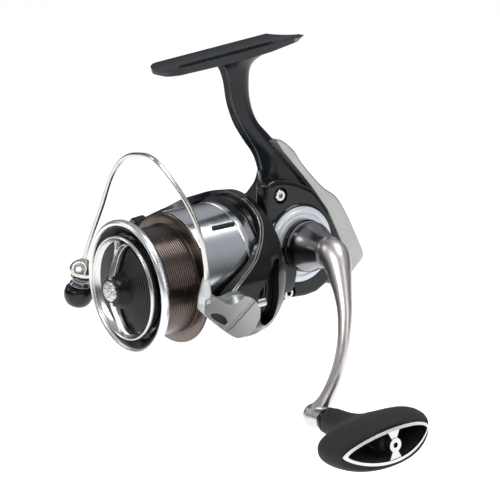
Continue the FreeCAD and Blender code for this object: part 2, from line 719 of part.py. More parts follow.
def roller_arm():
    """The far end of the bail: a plate on the far arm and a round end past the line roller."""
    body = new_body("far_lever")
    padded(body, "YZ_Plane", -LEVER_OUTER, LEVER_OUTER - LEVER_INNER, [
        (-66.4, -18.4), (-60.4, -18.4), (-59.6, -15.5), (-49.5, -3.5), (-43.5, 6.2), (-38, 6.6), (-34.4, 3),
        (-34.4, -2.6), (-38, -6.6), (-44, -9.6), (-58.8, -22.6), (-66.4, -23.2),
    ])
    softened(body, 0.7, runs_along(Vector(1, 0, 0)))
    pocketed(body, "YZ_Plane", -LEVER_OUTER - 1, 8, None, [("-pivot_front", 0, "pivot_radius + run_gap")])
    rounded_end = [(0, 0), (4.2, 0), (5.4, -1.2), (5.8, -3.2), (5.5, -5.4), (4.2, -7.4), (2.2, -8.5), (0, -8.7)]
    end = turned_body("arm_end", [rounded_end])
    end.Placement = Placement(roller_point(-16.9), roller_turn())
    named(boolean("Part::MultiFuse", "far_lever_whole", [body, end]), "roller_arm", (0, 0, 0),
        about_y("bail_turn"))


def on_roller_axis(body, label):
    """Place a body turned about its own Y axis on the line roller's axis, its +Y towards the collar."""
    centre = about_y("bail_turn").multVec(roller_point(0))
    named(body, label, (centre.x, centre.y, centre.z), about_y("bail_turn").multiply(roller_turn()))


def roller_parts():
    """The line roller, its bearing and screw, and the chrome collar that takes the wire's end."""
    roller = [
        ("2.6 + run_gap", -16.6), (4.0, -16.6), (4.3, -16.1), (3.5, -14.9), (3.5, -13.9), (4.3, -12.7),
        (4.3, -12.2), ("2.6 + run_gap", -12.2),
    ]
    on_roller_axis(turned_body("roller", [roller]), "line_roller")
    on_roller_axis(turned_body("roller_ring", [tube("1.3 + 0.01", 2.6, -16.4, -12.5)]), "roller_bearing")
    collar = [
        (0, -12.0), (3.9, -12.0), (5.0, -11.1), (5.2, -9.6), (4.2, -7.8), (2.4, -6.2), (1.5, -5.45), (0, -5.45),
    ]
    on_roller_axis(turned_body("collar", [collar]), "roller_collar")
    pin = [(0, -16.85), (1.3, -16.85), (1.3, -12.05), (0, -12.05)]
    on_roller_axis(turned_body("pin", [pin]), "roller_screw")


# ---- the spool, its shaft and the drag

def spool():
    """The line's barrel with its hub and rear flange, the bright lip and the skirt."""
    inner = "barrel_radius - barrel_wall"
    hub = "shaft_radius + 3.0"
    barrel = [
        (inner, -66.2), ("barrel_radius", -66.2), ("barrel_radius", "-flange_front"),
        ("skirt_radius + 0.2", "-flange_front"),
        ("skirt_radius + 0.2", "-flange_front + flange_thick"), (inner, "-flange_front + flange_thick"),
        (inner, -55.4),
        (f"{hub} + 1.6", -55.4), (f"{hub} + 1.6", -46.6), (hub, -46.6), (hub, -58.4), (inner, -58.4),
    ]
    named(turned_body("barrel", [barrel]), "spool_barrel")
    lip = [
        ("barrel_radius + 0.1", -66.3), ("knob_radius + 0.4", -66.3), ("knob_radius + 0.4", -68.2),
        (22.4, "-lip_front + 0.8"),
        (23.6, "-lip_front"), (24.8, "-lip_front + 0.3"), ("lip_radius", "-lip_front + 1.5"),
        ("lip_radius", "-lip_front + 2.7"),
        (24.6, "-lip_front + 3.7"), (23.2, -66.1), ("barrel_radius + 0.1", -64.6),
    ]
    named(turned_body("lip", [lip]), "spool_lip")
    skirt = [
        ("skirt_radius - skirt_wall", "-flange_front + flange_thick + 0.02"),
        ("skirt_radius", "-flange_front + flange_thick + 0.02"),
        ("skirt_radius + 0.25", -30.6), ("skirt_radius + 0.25", "-skirt_rear"),
        ("skirt_radius - skirt_wall", "-skirt_rear"),
    ]
    named(turned_body("skirt", [skirt]), "spool_skirt")
    clip = new_body("clip")
    padded(clip, "XY_Plane", "skirt_radius + 0.3", 1.0,
        [(-2.4, -44), (2.4, -44), (3, -40), (0, -37.4), (-3, -40)])
    named(clip, "line_clip", (0, 0, 0), about_y(-115))


def drag_parts():
    """The stack of drag discs, the bearings and click ring, and the wire that keeps the discs in."""
    hub = "shaft_radius + 3.0"
    friction = [tube(5.4, 14.4, -65.4 + 2.2 * turn, -64.3 + 2.2 * turn) for turn in range(3)]
    named(turned_body("friction", friction), "drag_washers")
    keyed = [tube("shaft_radius + 0.01", 13.6, -64.25 + 2.2 * turn, -63.25 + 2.2 * turn) for turn in range(2)]
    named(turned_body("keyed", keyed), "keyed_washers")
    named(turned_body("keeper", [tube(17.4, "barrel_radius - barrel_wall - 0.02", -65.8, -65.0)]),
        "washer_clip")
    outlines = [tube("shaft_radius + run_gap", f"{hub} - 0.01", start,
        f"{start} + 2.6") for start in ("-58.2", "-50")]
    named(turned_body("races", outlines), "spool_bearings")
    ring = turned_body("click", [tube(f"{hub} + 1.7", 9.0, -47.6, -46.6)])
    tooth = padded(ring, "XZ_Plane", 46.6, 1.0, [(-0.35, 8.9), (0.35, 8.9), (0.15, 9.7), (-0.15, 9.7)])
    repeated(ring, tooth, 30, "Y_Axis")
    named(ring, "click_ring")


def shaft_parts():
    """The main shaft, which carries the spool and slides, and the slider that moves it."""
    bar = [(0, "-button_tip + 3.2"), ("shaft_radius", "-button_tip + 3.2"), ("shaft_radius", 27), (0, 27)]
    named(turned_body("shaft", [bar]), "main_shaft")
    named(turned_body("stop", [tube("shaft_radius + 0.01", 4.6, -46.3, -45.2)]), "spool_washer")
    across, up = worm_place()
    body = new_body("slider_block")
    padded(body, "XZ_Plane", -26.6, 4.0, [
        (across - 3.4, up - 3.2), (-2, -13), (2.3, -13), (2.3, 3.2), (-3.6, 3.2), (across - 3.4, up + 3.4),
    ])
    pocketed(body, "XZ_Plane", -28, 8, None, [(0, 0, "shaft_radius + 0.01")])
    pocketed(body, "XZ_Plane", -28, 8, None, [(across, up, 2.5)])
    pocketed(body, "XZ_Plane", -28, 8, None, [(ROD_PLACE[0], ROD_PLACE[1], ROD_RADIUS + 0.05)])
    named(body, "slider")


def drag_knob():
    """The knob that presses the drag discs: a bright ring, two blades, a button and a stepped cone."""
    ring = [
        ("knob_radius - 2.6", -68.6), ("knob_radius - 0.4", -68.6), ("knob_radius", -69.4),
        ("knob_radius - 0.5", -71.0),
        ("knob_radius - 1.5", -71.5), ("knob_radius - 2.6", -70.6),
    ]
    named(turned_body("ring", [ring]), "drag_knob_ring")
    cone = [(2.2, -66.4), ("knob_radius - 2.65", -66.4), ("knob_radius - 2.65", -69.6), (14.6, -69.9),
        (14.2, -71.0), (11.2, -71.3),
            (10.8, -72.4), (8.0, -72.7), (7.4, -74.0), (2.2, -74.0)]
    named(turned_body("cone", [cone]), "drag_knob_cone")
    blades = []
    for side in (1, -1):
        plan = new_body("blade")
        root = f"{side} * (knob_radius - 2.75)"
        padded(plan, "XY_Plane", -1.6, 3.2, [
            (root, -72.4), (f"{side} * 5.1", -76.6), (f"{side} * 5.1", -74.3), (f"{side} * 8.8", -74.2),
            (root, -71.35),
        ])
        blades.append(plan)
    group = doc.addObject("Part::Compound", "blades")
    group.Links = blades
    named(group, "drag_knob_blades", (0, 0, 0), about_y(92))
    button = [(0, "-button_tip"), (3.2, "-button_tip"), (4.4, "-button_tip + 0.7"), (4.8, "-button_tip + 2"),
        (4.8, -74.05), (2.2, -74.05),
              (2.2, "-button_tip + 3"), (0, "-button_tip + 3")]
    named(turned_body("button", [button]), "drag_knob_button")
    nut = new_body("drag_nut_body")
    across = 5.4
    corners = [(across * math.cos(math.radians(60 * turn)),
        across * math.sin(math.radians(60 * turn))) for turn in range(6)]
    padded(nut, "XZ_Plane", 66.42 - 0.6, 0.55, corners)
    pocketed(nut, "XZ_Plane", 65, 5, None, [(0, 0, "shaft_radius + 0.02")])
    named(nut, "drag_nut")


# ---- the handle

def crank_turn():
    return about_x("arm_turn")


def handle_collar():
    """The smoked cone between the case and the crank arm, with a dark ring at its foot."""
    outline = [("drive_radius + 0.02", 20.2), (9.5, 20.2), (9.7, 23.4), (8.6, 26), (6.9, 30.6), (6.1, 34.1),
        (0, 34.1), (0, 21.45),
               ("drive_radius + 0.02", 21.45)]
    named(turned_body("collar_cone", [outline], "X"), "handle_collar", (0, 0, "drive_height"))
    ring = [("drive_radius + 0.02", 18.3), (9.9, 18.3), (10.1, 19.2), (9.8, 20.15),
        ("drive_radius + 0.02", 20.15)]
    named(turned_body("collar_foot", [ring], "X"), "collar_ring", (0, 0, "drive_height"))


def handle_arm():
    """The crank arm: a round boss that narrows into a bowed leg and ends in a ball."""
    stations = [
        (34.15, 0.0, 4.6, (1, 0, 0)), (36.2, 0.4, 6.0, (1, 0, 0.1)), (39.4, 2.0, 6.4, (1, 0, -0.45)),
        (43.4, 7.2, 5.0, (0.8, 0, -0.8)),
        (47.6, 13.6, 3.6, (0.62, 0, -0.8)), (51.6, 21.0, 3.0, (0.42, 0, -0.9)),
        (54.4, 30.5, 2.6, (0.12, 0, -1)),
        (54.8, 39.3, 2.5, (-0.08, 0, -1)), (53.6, 47.4, 2.6, (-0.25, 0, -1)),
        (51.4, 53.6, 3.0, (-0.45, 0, -1)),
    ]
    wires = []
    for across, down, radius, way in stations:
        direction = Vector(*way).normalize()
        wires.append(oval_wire(Vector(across, 0, -down), radius, radius * 1.05, direction, Vector(0, 1, 0)))
    leg = solid("crank_leg", lofted(wires))
    ball = doc.addObject("Part::Sphere", "crank_ball")
    ball.Radius = 4.6
    ball.Placement = Placement(Vector(48.4, 0, -size("crank_radius")), Rotation())
    bridge = solid("crank_bridge", lofted([
        oval_wire(Vector(51.4, 0, -53.6), 2.98, 3.1, Vector(-0.45, 0, -1).normalize(), Vector(0, 1, 0)),
        oval_wire(Vector(49.2, 0, -58.2), 3.4, 3.6, Vector(-0.6, 0, -1).normalize(), Vector(0, 1, 0)),
    ]))
    arm = boolean("Part::MultiFuse", "crank_arm", [leg, bridge, ball])
    beyond = doc.addObject("Part::Box", "collar_side")
    beyond.Length = beyond.Width = beyond.Height = 40
    beyond.Placement = Placement(Vector(34.12 - 40, -20, -20), Rotation())
    named(boolean("Part::Cut", "crank_cut", [arm, beyond]), "handle_arm", (0, 0, "drive_height"),
        crank_turn())


def knob_centre():
    """The knob axis: one crank radius from the drive axis along the turned arm."""
    turn = crank_turn().multVec(Vector(0, 0, -size("crank_radius")))
    return (0, turn.y, turn.z + size("drive_height"))


def knob_parts():
    """The pin, bearings, collars and T-shaped grip."""
    centre = knob_centre()
    pin = [(0, 53.05), ("pin_radius", 53.05), ("pin_radius", 84), (0, 84)]
    named(turned_body("pin_shaft", [pin], "X"), "knob_shaft", centre)
    screw_head = [(0, 84.05), (2.9, 84.05), (2.9, 86.2), (0, 86.2)]
    named(turned_body("knob_end_screw", [screw_head], "X"), "knob_screw", centre)
    rings = [tube("pin_radius + run_gap", 4.3, 54.6, 55.9), tube("pin_radius + run_gap", 4.9, 55.95, 57.4)]
    named(turned_body("knob_rings", rings, "X"), "knob_collars", centre)
    races = [tube("pin_radius + run_gap", 4.0, 60, 62.5), tube("pin_radius + run_gap", 4.0, 80.8, 83.3)]
    named(turned_body("knob_races", races, "X"), "knob_bearings", centre)
    stations = [(57.6, 4.8, 4.8), (62, 5.0, 5.0), (67, 5.6, 5.2), (72, 8.4, 6.0), (77, 15.2, 7.5),
                (82, 21.2, 8.9), (88, "grip_half - 0.3", "grip_height - 0.4"),
                ("grip_end - 1.8", "grip_half", "grip_height")]
    wires = [oval_wire(Vector(size(along), 0, 0), size(long), size(tall), Vector(1, 0, 0), Vector(0, 1, 0))
             for along, long, tall in stations]
    shell = solid("grip_shell", lofted(wires))
    bore = turned_body("grip_bore",
        [[(0, 57), ("pin_radius + 0.3", 57), ("pin_radius + 0.3", 60), (4.01, 60), (4.01, 83.4),
          (6.4, 83.4), (6.4, 97), (0, 97)]], "X")
    tilt = Rotation(Vector(1, 0, 0), size("grip_tilt"))
    named(boolean("Part::Cut", "grip_whole", [shell, bore]), "knob_grip", centre, tilt)
    frame_wires = [oval_wire(Vector(size(along), 0, 0), size(long), size(tall), Vector(1, 0, 0), Vector(0, 1, 0))
                   for along, long, tall in (("grip_end - 1.78", "grip_half - 3", "grip_height - 3.2"),
                                             ("grip_end", "grip_half - 3.6", "grip_height - 3.8"))]
    trim = solid("trim_blank", lofted(frame_wires))
    trim_bore = doc.addObject("Part::Cylinder", "trim_bore")
    trim_bore.Radius = 3.4
    trim_bore.Height = 20
    trim_bore.Placement = Placement(Vector(size("grip_end") - 10, 0, 0), Rotation(Vector(0, 1, 0), 90))
    named(boolean("Part::Cut", "trim_whole", [trim, trim_bore]), "knob_trim", centre, tilt)
    hub = [(0, "grip_end - 6.5"), (3.3, "grip_end - 6.5"), (3.3, "grip_end - 0.6"), (1.2, "grip_end - 0.6"),
           (1.2, "grip_end - 2.4"), (0, "grip_end - 2.4")]
    named(turned_body("hub", [hub], "X"), "knob_cap", centre)


def handle():
    handle_collar()
    handle_arm()
    knob_parts()


# ---- build, check and write

def build():
    body_frame()
    side_cover()
    engine_plate()
    left_cap()
    rear_protector()
    cover_screws()
    nose_parts()
    drive()
    rotor()
    rotor_nut()
    bail_pivots()
    bail_spring()
    arm_covers()
    bail_lever()
    lever_cover()
    bail_wire()
    roller_arm()
    roller_parts()
    spool()
    drag_parts()
    shaft_parts()
    drag_knob()
    handle()


def check_and_write():
    doc.recompute()
    for thing in doc.Objects:
        if {"Invalid", "Error"} & set(thing.State):
            raise RuntimeError(f"{thing.Name} ({thing.Label}) failed: {thing.State}")
    os.makedirs("parts", exist_ok=True)
    for piece in pieces:
        if piece.Shape.isNull() or not piece.Shape.isValid():
            raise RuntimeError(f"{piece.Label} has no valid shape")
        piece.Shape.exportStep(f"parts/{piece.Label}.step")
    print(len(pieces), "sub-parts written")


build()
check_and_write()
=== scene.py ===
import json
import math

import bmesh
import bpy
from mathutils import Matrix, Vector

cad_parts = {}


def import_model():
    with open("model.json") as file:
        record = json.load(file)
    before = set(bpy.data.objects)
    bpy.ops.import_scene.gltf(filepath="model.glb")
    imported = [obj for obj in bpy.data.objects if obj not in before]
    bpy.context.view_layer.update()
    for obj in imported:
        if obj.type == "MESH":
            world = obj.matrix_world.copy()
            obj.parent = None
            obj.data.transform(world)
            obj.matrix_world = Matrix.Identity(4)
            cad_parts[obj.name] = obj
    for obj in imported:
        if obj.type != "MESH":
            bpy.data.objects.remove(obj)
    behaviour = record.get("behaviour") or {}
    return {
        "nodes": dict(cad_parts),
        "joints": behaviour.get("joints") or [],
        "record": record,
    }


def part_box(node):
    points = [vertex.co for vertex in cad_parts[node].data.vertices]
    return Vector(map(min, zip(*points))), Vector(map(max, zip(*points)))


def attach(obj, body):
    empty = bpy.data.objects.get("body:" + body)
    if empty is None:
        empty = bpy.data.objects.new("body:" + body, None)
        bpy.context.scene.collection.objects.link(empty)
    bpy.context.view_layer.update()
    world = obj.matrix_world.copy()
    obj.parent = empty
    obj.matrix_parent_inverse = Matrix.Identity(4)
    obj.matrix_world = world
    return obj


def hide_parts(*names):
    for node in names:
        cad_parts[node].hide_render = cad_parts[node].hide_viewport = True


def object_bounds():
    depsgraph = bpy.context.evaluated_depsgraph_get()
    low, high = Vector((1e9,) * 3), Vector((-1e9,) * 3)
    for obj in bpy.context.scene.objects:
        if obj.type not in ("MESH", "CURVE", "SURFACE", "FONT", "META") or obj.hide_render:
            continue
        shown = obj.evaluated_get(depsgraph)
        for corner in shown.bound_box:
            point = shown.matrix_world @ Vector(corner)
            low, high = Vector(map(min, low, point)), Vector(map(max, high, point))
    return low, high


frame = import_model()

CAD_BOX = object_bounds()

# ---------------------------------------------------------------- places
# Shapes are drawn in millimetres about the reel's own lines and a space matrix puts them in the frame:
# REEL has the spool axis as Y, BAIL turns with the two rotor arms (x outwards, z across),
# DRIVE is centred on the handle's axis, CRANK also turns with the handle arm, KNOB is centred on the knob,
# GRIP_SPACE also leans with the grip, ROLLER is centred on the line roller, and FOOT tilts with the foot.

MM = 0.001
BAIL_TURN = 16.2
ARM_TURN = -20.4
FOOT_TILT = 4.4
DRIVE_HEIGHT = 6.4
ROLLER_OUT = -33.8
ROLLER_FRONT = -65.4
ROLLER_LEAN = 4.0
BAIL_PIVOT = -40
CRANK_RADIUS = 60
GRIP_LEAN = 3.2

joints = {joint["name"]: joint for joint in frame["joints"]}
lip_low, lip_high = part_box("spool_lip")
SPOOL_CENTRE = Vector((0, joints["crank_turn"]["pos_m"][1], (lip_low.z + lip_high.z) / 2))


def about(axis, degrees):
    """A turn about one axis."""
    return Matrix.Rotation(math.radians(degrees), 4, axis)


def shift(x, y, z):
    """A move in millimetres."""
    return Matrix.Translation((x, y, z))


REEL = Matrix.Translation(SPOOL_CENTRE) @ Matrix.Scale(MM, 4)
BAIL = REEL @ about("Y", BAIL_TURN)
FAR_ARM = BAIL @ about("Y", 180)
DRIVE = REEL @ shift(0, 0, DRIVE_HEIGHT)
CRANK = DRIVE @ about("X", ARM_TURN)
FOOT = about("X", FOOT_TILT) @ Matrix.Scale(MM, 4)
ROLLER = BAIL @ shift(ROLLER_OUT, ROLLER_FRONT, -0.3) @ about("X", -ROLLER_LEAN)
KNOB = CRANK @ shift(0, 0, -CRANK_RADIUS)
GRIP_SPACE = KNOB @ about("X", GRIP_LEAN - ARM_TURN)

# ---------------------------------------------------------------- curves


def blended(points, share):
    """The value at share 0..1 along rows of numbers, on a smooth curve through them."""
    place = max(0.0, min(1.0, share)) * (len(points) - 1)
    i = min(int(place), len(points) - 2)
    t = place - i
    rows = [points[max(i - 1, 0)], points[i], points[i + 1], points[min(i + 2, len(points) - 1)]]
    weights = (
        (-t + 2 * t * t - t ** 3) / 2,
        (2 - 5 * t * t + 3 * t ** 3) / 2,
        (t + 4 * t * t - 3 * t ** 3) / 2,
        (t ** 3 - t * t) / 2,
    )
    return [sum(w * row[k] for w, row in zip(weights, rows)) for k in range(len(points[0]))]


def smooth(points, count):
    """count + 1 places along a smooth open curve through the points."""
    return [blended(points, n / count) for n in range(count + 1)]


def smooth_loop(points, per_side):
    """A smooth closed curve through the points."""
    total = len(points)
    result = []
    for i in range(total):
        four = [points[(i + k) % total] for k in (-1, 0, 1, 2)]
        result += [blended(four, (1 + n / per_side) / 3) for n in range(per_side)]
    return result


def level(table, at):
    """Straight-line lookup in a table of (at, value)."""
    for (a, u), (b, v) in zip(table, table[1:]):
        if at <= b:
            share = max(0.0, min(1.0, (at - a) / (b - a)))
            return u + (v - u) * share
    return table[-1][1]


def eased(table, at):
    """Lookup in a table of (at, value), with a soft turn at each entry."""
    for (a, u), (b, v) in zip(table, table[1:]):
        if at <= b:
            share = max(0.0, min(1.0, (at - a) / (b - a)))
            return u + (v - u) * share * share * (3 - 2 * share)
    return table[-1][1]


def rounded(points, radius):
    """A closed outline with its corners turned into arcs."""
    steps = 5
    result = []
    total = len(points)
    for i in range(total):
        corner = Vector(points[i])
        before = Vector(points[i - 1]) - corner
        after = Vector(points[(i + 1) % total]) - corner
        angle = before.angle(after)
        reach = min(radius / math.tan(angle / 2), before.length * 0.48, after.length * 0.48)
        size = reach * math.tan(angle / 2)
        inwards = (before.normalized() + after.normalized()).normalized()
        middle = corner + inwards * size / math.sin(angle / 2)
        start = corner + before.normalized() * reach - middle
        end = corner + after.normalized() * reach - middle
        sweep = math.pi - angle
        for n in range(steps + 1):
            share = n / steps
            turn = start * math.sin((1 - share) * sweep) + end * math.sin(share * sweep)
            result.append(tuple(middle + turn / max(math.sin(sweep), 1e-6)))
    return result


def ring(radius, count):
    """Points round a circle."""
    turns = [2 * math.pi * n / count for n in range(count)]
    return [(radius * math.cos(t), radius * math.sin(t)) for t in turns]


def softened(value, power):
    """A sine or cosine raised to a power with its sign kept, which squares or points the round it draws."""
    return math.copysign(abs(value) ** power, value)


# ---------------------------------------------------------------- shapes


def solid(points, faces, space):
    """A plain mesh object from millimetre points."""
    mesh = bpy.data.meshes.new("shape")
    mesh.from_pydata([space @ Vector(p) for p in points], [], faces)
    work = bmesh.new()
    work.from_mesh(mesh)
    bmesh.ops.remove_doubles(work, verts=work.verts, dist=1e-7)
    bmesh.ops.recalc_face_normals(work, faces=work.faces)
    work.to_mesh(mesh)
    work.free()
    thing = bpy.data.objects.new("shape", mesh)
    bpy.context.scene.collection.objects.link(thing)
    return thing


def turned(outline, space, axis="Y", count=120):
    """A lathe shape; the outline is a closed loop of (radius, place along the axis)."""
    points, faces = [], []
    size = len(outline)
    for n in range(count):
        c, s = math.cos(2 * math.pi * n / count), math.sin(2 * math.pi * n / count)
        for radius, along in outline:
            a, b = radius * c, radius * s
            points.append({"X": (along, a, b), "Y": (a, along, b), "Z": (a, b, along)}[axis])
    for n in range(count):
        m = (n + 1) % count
        for i in range(size):
            j = (i + 1) % size
            faces.append((n * size + i, n * size + j, m * size + j, m * size + i))
    return solid(points, faces, space)


def stacked(loops, space, closed=False):
    """A skin over loops of equal length, with capped ends, or closed from the last loop to the first."""
    size = len(loops[0])
    points = [p for loop in loops for p in loop]
    faces = []
    total = len(loops)
    for n in range(total if closed else total - 1):
        m = (n + 1) % total
        for i in range(size):
            j = (i + 1) % size
            faces.append((n * size + i, n * size + j, m * size + j, m * size + i))
    if not closed:
        faces.append(tuple(range(size)))
        faces.append(tuple(range((total - 1) * size, total * size)))
    return solid(points, faces, space)


def slab(outline, low, high, space, axis="X"):
    """A flat plate: an outline of the two other axes, between two levels of one axis."""
    def at(p, along):
        a, b = p[0], p[1]
        return {"X": (along, a, b), "Y": (a, along, b), "Z": (a, b, along)}[axis]
    return stacked([[at(p, low) for p in outline], [at(p, high) for p in outline]], space)


def swept(path, radius, space, sides=24):
    """A round bar along a path; radius is a number, or a list with one per point."""
    path = [Vector(p) for p in path]
    radii = radius if isinstance(radius, list) else [radius] * len(path)
    loops = []
    side = None
    for i, place in enumerate(path):
        along = (path[min(i + 1, len(path) - 1)] - path[max(i - 1, 0)]).normalized()
        side = side or along.orthogonal()
        side = (side - along * side.dot(along)).normalized()
        other = along.cross(side)
        loops.append([place + side * x * radii[i] + other * y * radii[i] for x, y in ring(1, sides)])
    return stacked(loops, space)


def sphere(radius, place):
    """A ball about the origin of a space."""
    thing = bpy.data.objects.new("shape", bpy.data.meshes.new("shape"))
    bpy.context.scene.collection.objects.link(thing)
    work = bmesh.new()
    bmesh.ops.create_uvsphere(work, u_segments=64, v_segments=40, radius=radius)
    bmesh.ops.transform(work, matrix=place, verts=work.verts)
    work.to_mesh(thing.data)
    work.free()
    return thing


def settle(thing):
    """Apply the object's modifiers."""
    graph = bpy.context.evaluated_depsgraph_get()
    mesh = bpy.data.meshes.new_from_object(thing.evaluated_get(graph))
    thing.modifiers.clear()
    thing.data = mesh
    return thing


def combined(thing, others, operation):
    """Join, cut or intersect a shape with others, which are used up."""
    for other in others:
        change = thing.modifiers.new("change", "BOOLEAN")
        change.operation = operation
        change.object = other
        change.solver = "EXACT"
    settle(thing)
    for other in others:
        bpy.data.objects.remove(other)
    return thing


def cut(thing, *tools):
    """The shape without its tools."""
    return combined(thing, tools, "DIFFERENCE")


def fused(thing, *others):
    """The shape joined with others."""
    return combined(thing, others, "UNION")


def cast(thing, grain, rounds):
    """Rework a shape as one even skin with soft inner and outer corners, like a casting."""
    skin = thing.modifiers.new("skin", "REMESH")
    skin.mode = "VOXEL"
    skin.voxel_size = grain * MM
    ease = thing.modifiers.new("ease", "SMOOTH")
    ease.iterations = rounds
    ease.factor = 0.5
    return settle(thing)


def whole(things):
    """Several shapes as one object."""
    first = things[0]
    work = bmesh.new()
    for thing in things:
        work.from_mesh(thing.data)
    work.to_mesh(first.data)
    work.free()
    for thing in things[1:]:
        bpy.data.objects.remove(thing)
    return first


def piece(thing, name, body, paint, nodes=(), edge=0.0, turns=3, sharp=35):
    """Finish a shape: name it, ease its edges, paint it, and hand it to its body."""
    thing.name = name
    thing.data.name = name
    thing.data.materials.clear()
    thing.data.materials.append(paint[0])
    thing.data.shade_smooth()
    thing.data.set_sharp_from_angle(angle=math.radians(sharp))
    if edge:
        ease = thing.modifiers.new("edges", "BEVEL")
        ease.width = edge * MM
        ease.segments = turns
        ease.limit_method = "ANGLE"
        ease.angle_limit = math.radians(28)
        ease.harden_normals = True
    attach(thing, body)
    if nodes:
        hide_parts(*nodes)
    return thing


# ---------------------------------------------------------------- materials


class Recipe:
    """A material's node tree, with short calls for the nodes the recipes share."""

    def __init__(self, name, colour, metallic, roughness, **sockets):
        self.material = bpy.data.materials.new(name)
        self.material.use_nodes = True
        self.tree = self.material.node_tree
        self.shader = self.tree.nodes["Principled BSDF"]
        self.shader.inputs["Base Color"].default_value = (*colour, 1)
        self.shader.inputs["Metallic"].default_value = metallic
        self.shader.inputs["Roughness"].default_value = roughness
        for socket, value in sockets.items():
            self.shader.inputs[socket.replace("_", " ")].default_value = value
        self.colour = colour
        self.bumps = None

    def node(self, kind, **values):
        """A node with some of its inputs or settings given by name."""
        made = self.tree.nodes.new(kind)
        for key, value in values.items():
            if key in made.inputs:
                made.inputs[key].default_value = value
            else:
                setattr(made, key, value)
        return made

    def link(self, a, b):
        self.tree.links.new(a, b)

    def place(self, space=None):
        """The surface place in millimetres, in the frame or in one of the reel's spaces."""
        source = self.node("ShaderNodeTexCoord")
        if space is None:
            space = Matrix.Scale(MM, 4)
        back = space.inverted()
        move = self.node("ShaderNodeMapping")
        move.inputs["Location"].default_value = back.to_translation()
        move.inputs["Rotation"].default_value = back.to_euler()
        move.inputs["Scale"].default_value = back.to_scale()
        self.link(source.outputs["Object"], move.inputs["Vector"])
        return move.outputs["Vector"]

    def noise(self, scale, detail=3.0):
        """Soft noise; scale is in patches per millimetre."""
        made = self.node("ShaderNodeTexNoise", Scale=scale, Detail=detail)
        self.link(self.place(), made.inputs["Vector"])
        return made.outputs["Fac"]

    def ranged(self, value, low, high, source_low=0.3, source_high=0.7):
        """A value carried from the source range, which suits noise, to low and high."""
        made = self.node("ShaderNodeMapRange")
        made.inputs["From Min"].default_value = source_low
        made.inputs["From Max"].default_value = source_high
        made.inputs["To Min"].default_value = low
        made.inputs["To Max"].default_value = high
        self.link(value, made.inputs["Value"])
        return made.outputs["Result"]

    def vary_colour(self, value, other):
        """Blend the base colour towards another where value is high."""
        mix = self.node("ShaderNodeMix", data_type="RGBA")
        mix.inputs[6].default_value = (*self.colour, 1)
        mix.inputs[7].default_value = (*other, 1)
        self.link(value, mix.inputs[0])
        self.link(mix.outputs[2], self.shader.inputs["Base Color"])

    def vary_roughness(self, value, low, high):
        """Let the roughness follow value between low and high."""
        self.link(self.ranged(value, low, high), self.shader.inputs["Roughness"])

    def bump(self, value, depth):
        """Raise the surface by value; depth in millimetres."""
        made = self.node("ShaderNodeBump", Strength=1.0, Distance=depth * MM)
        self.link(value, made.inputs["Height"])
        if self.bumps:
            self.link(self.bumps, made.inputs["Normal"])
        self.bumps = made.outputs["Normal"]
        self.link(self.bumps, self.shader.inputs["Normal"])

    def rings(self, space, axis, pitch):
        """A wave along one axis of a space, with a crest every pitch millimetres, for lathe marks."""
        wave = self.node("ShaderNodeTexWave", wave_type="BANDS", bands_direction=axis)
        wave.inputs["Scale"].default_value = 2 * math.pi / 20 / pitch
        wave.inputs["Distortion"].default_value = 0.0
        self.link(self.place(space), wave.inputs["Vector"])
        return wave.outputs["Fac"]


def shade(colour, factor):
    """A colour made lighter or darker."""
    return tuple(min(1.0, value * factor) for value in colour)


def satin_paint(slot, colour, roughness, specular=0.32):
    """Sprayed paint: faint orange peel and cloudiness and a little uneven gloss."""
    made = Recipe(slot, colour, 0.0, roughness, Specular_IOR_Level=specular)
    made.vary_colour(made.ranged(made.noise(0.05), 0, 1), shade(colour, 1.25))
    made.vary_roughness(made.noise(0.2), roughness - 0.03, roughness + 0.04)
    made.bump(made.noise(1.4), 0.0015)
    return made.material, slot


def gloss_paint(slot, colour, roughness):
    """Glossy black lacquer with a trace of orange peel and dust."""
    made = Recipe(slot, colour, 0.0, roughness, Specular_IOR_Level=0.36)
    made.vary_colour(made.ranged(made.noise(0.12), 0, 1), shade(colour, 1.8))
    made.vary_roughness(made.noise(1.2), roughness, roughness + 0.06)
    made.bump(made.noise(1.1), 0.004)
    return made.material, slot


def pearl_paint(slot, colour, roughness, metallic):
    """Fine metallic paint under lacquer, a little cloudy."""
    made = Recipe(slot, colour, metallic, roughness, Coat_Weight=0.3, Coat_Roughness=0.12)
    made.vary_colour(made.ranged(made.noise(0.06), 0, 1), shade(colour, 0.90))
    made.vary_roughness(made.noise(0.12), roughness - 0.03, roughness + 0.04)
    made.bump(made.noise(0.9), 0.0004)
    return made.material, slot


LATHE_PITCH = 0.5


def metal(slot, colour, roughness, depth, space=None, axis="Y"):
    """Bare or plated metal, a little uneven; a space gives it lathe marks along one of its axes."""
    made = Recipe(slot, colour, 1.0, roughness)
    made.vary_colour(made.ranged(made.noise(0.10), 0, 1), shade(colour, 1.06))
    made.vary_roughness(made.noise(0.35), roughness * 0.92, roughness * 1.10)
    if space is not None:
        made.bump(made.rings(space, axis, LATHE_PITCH), depth)
    made.bump(made.noise(0.8), depth / 4)
    return made.material, slot


def wound_metal(slot, colour, valley, roughness, pitch):
    """Dark anodised metal with fine grooves round the spool axis, as on a line barrel; the groove valleys are
    painted darker, as painted shade.
    """
    made = Recipe(slot, colour, 1.0, roughness)
    grooves = made.rings(REEL, "Y", pitch)
    # The groove valleys take the darker colour: painted shade in the grooves.
    made.vary_colour(made.ranged(grooves, 1, 0, 0.1, 0.8), valley)
    made.vary_roughness(made.noise(0.3), roughness * 0.9, roughness * 1.15)
    made.bump(grooves, 0.04)
    return made.material, slot


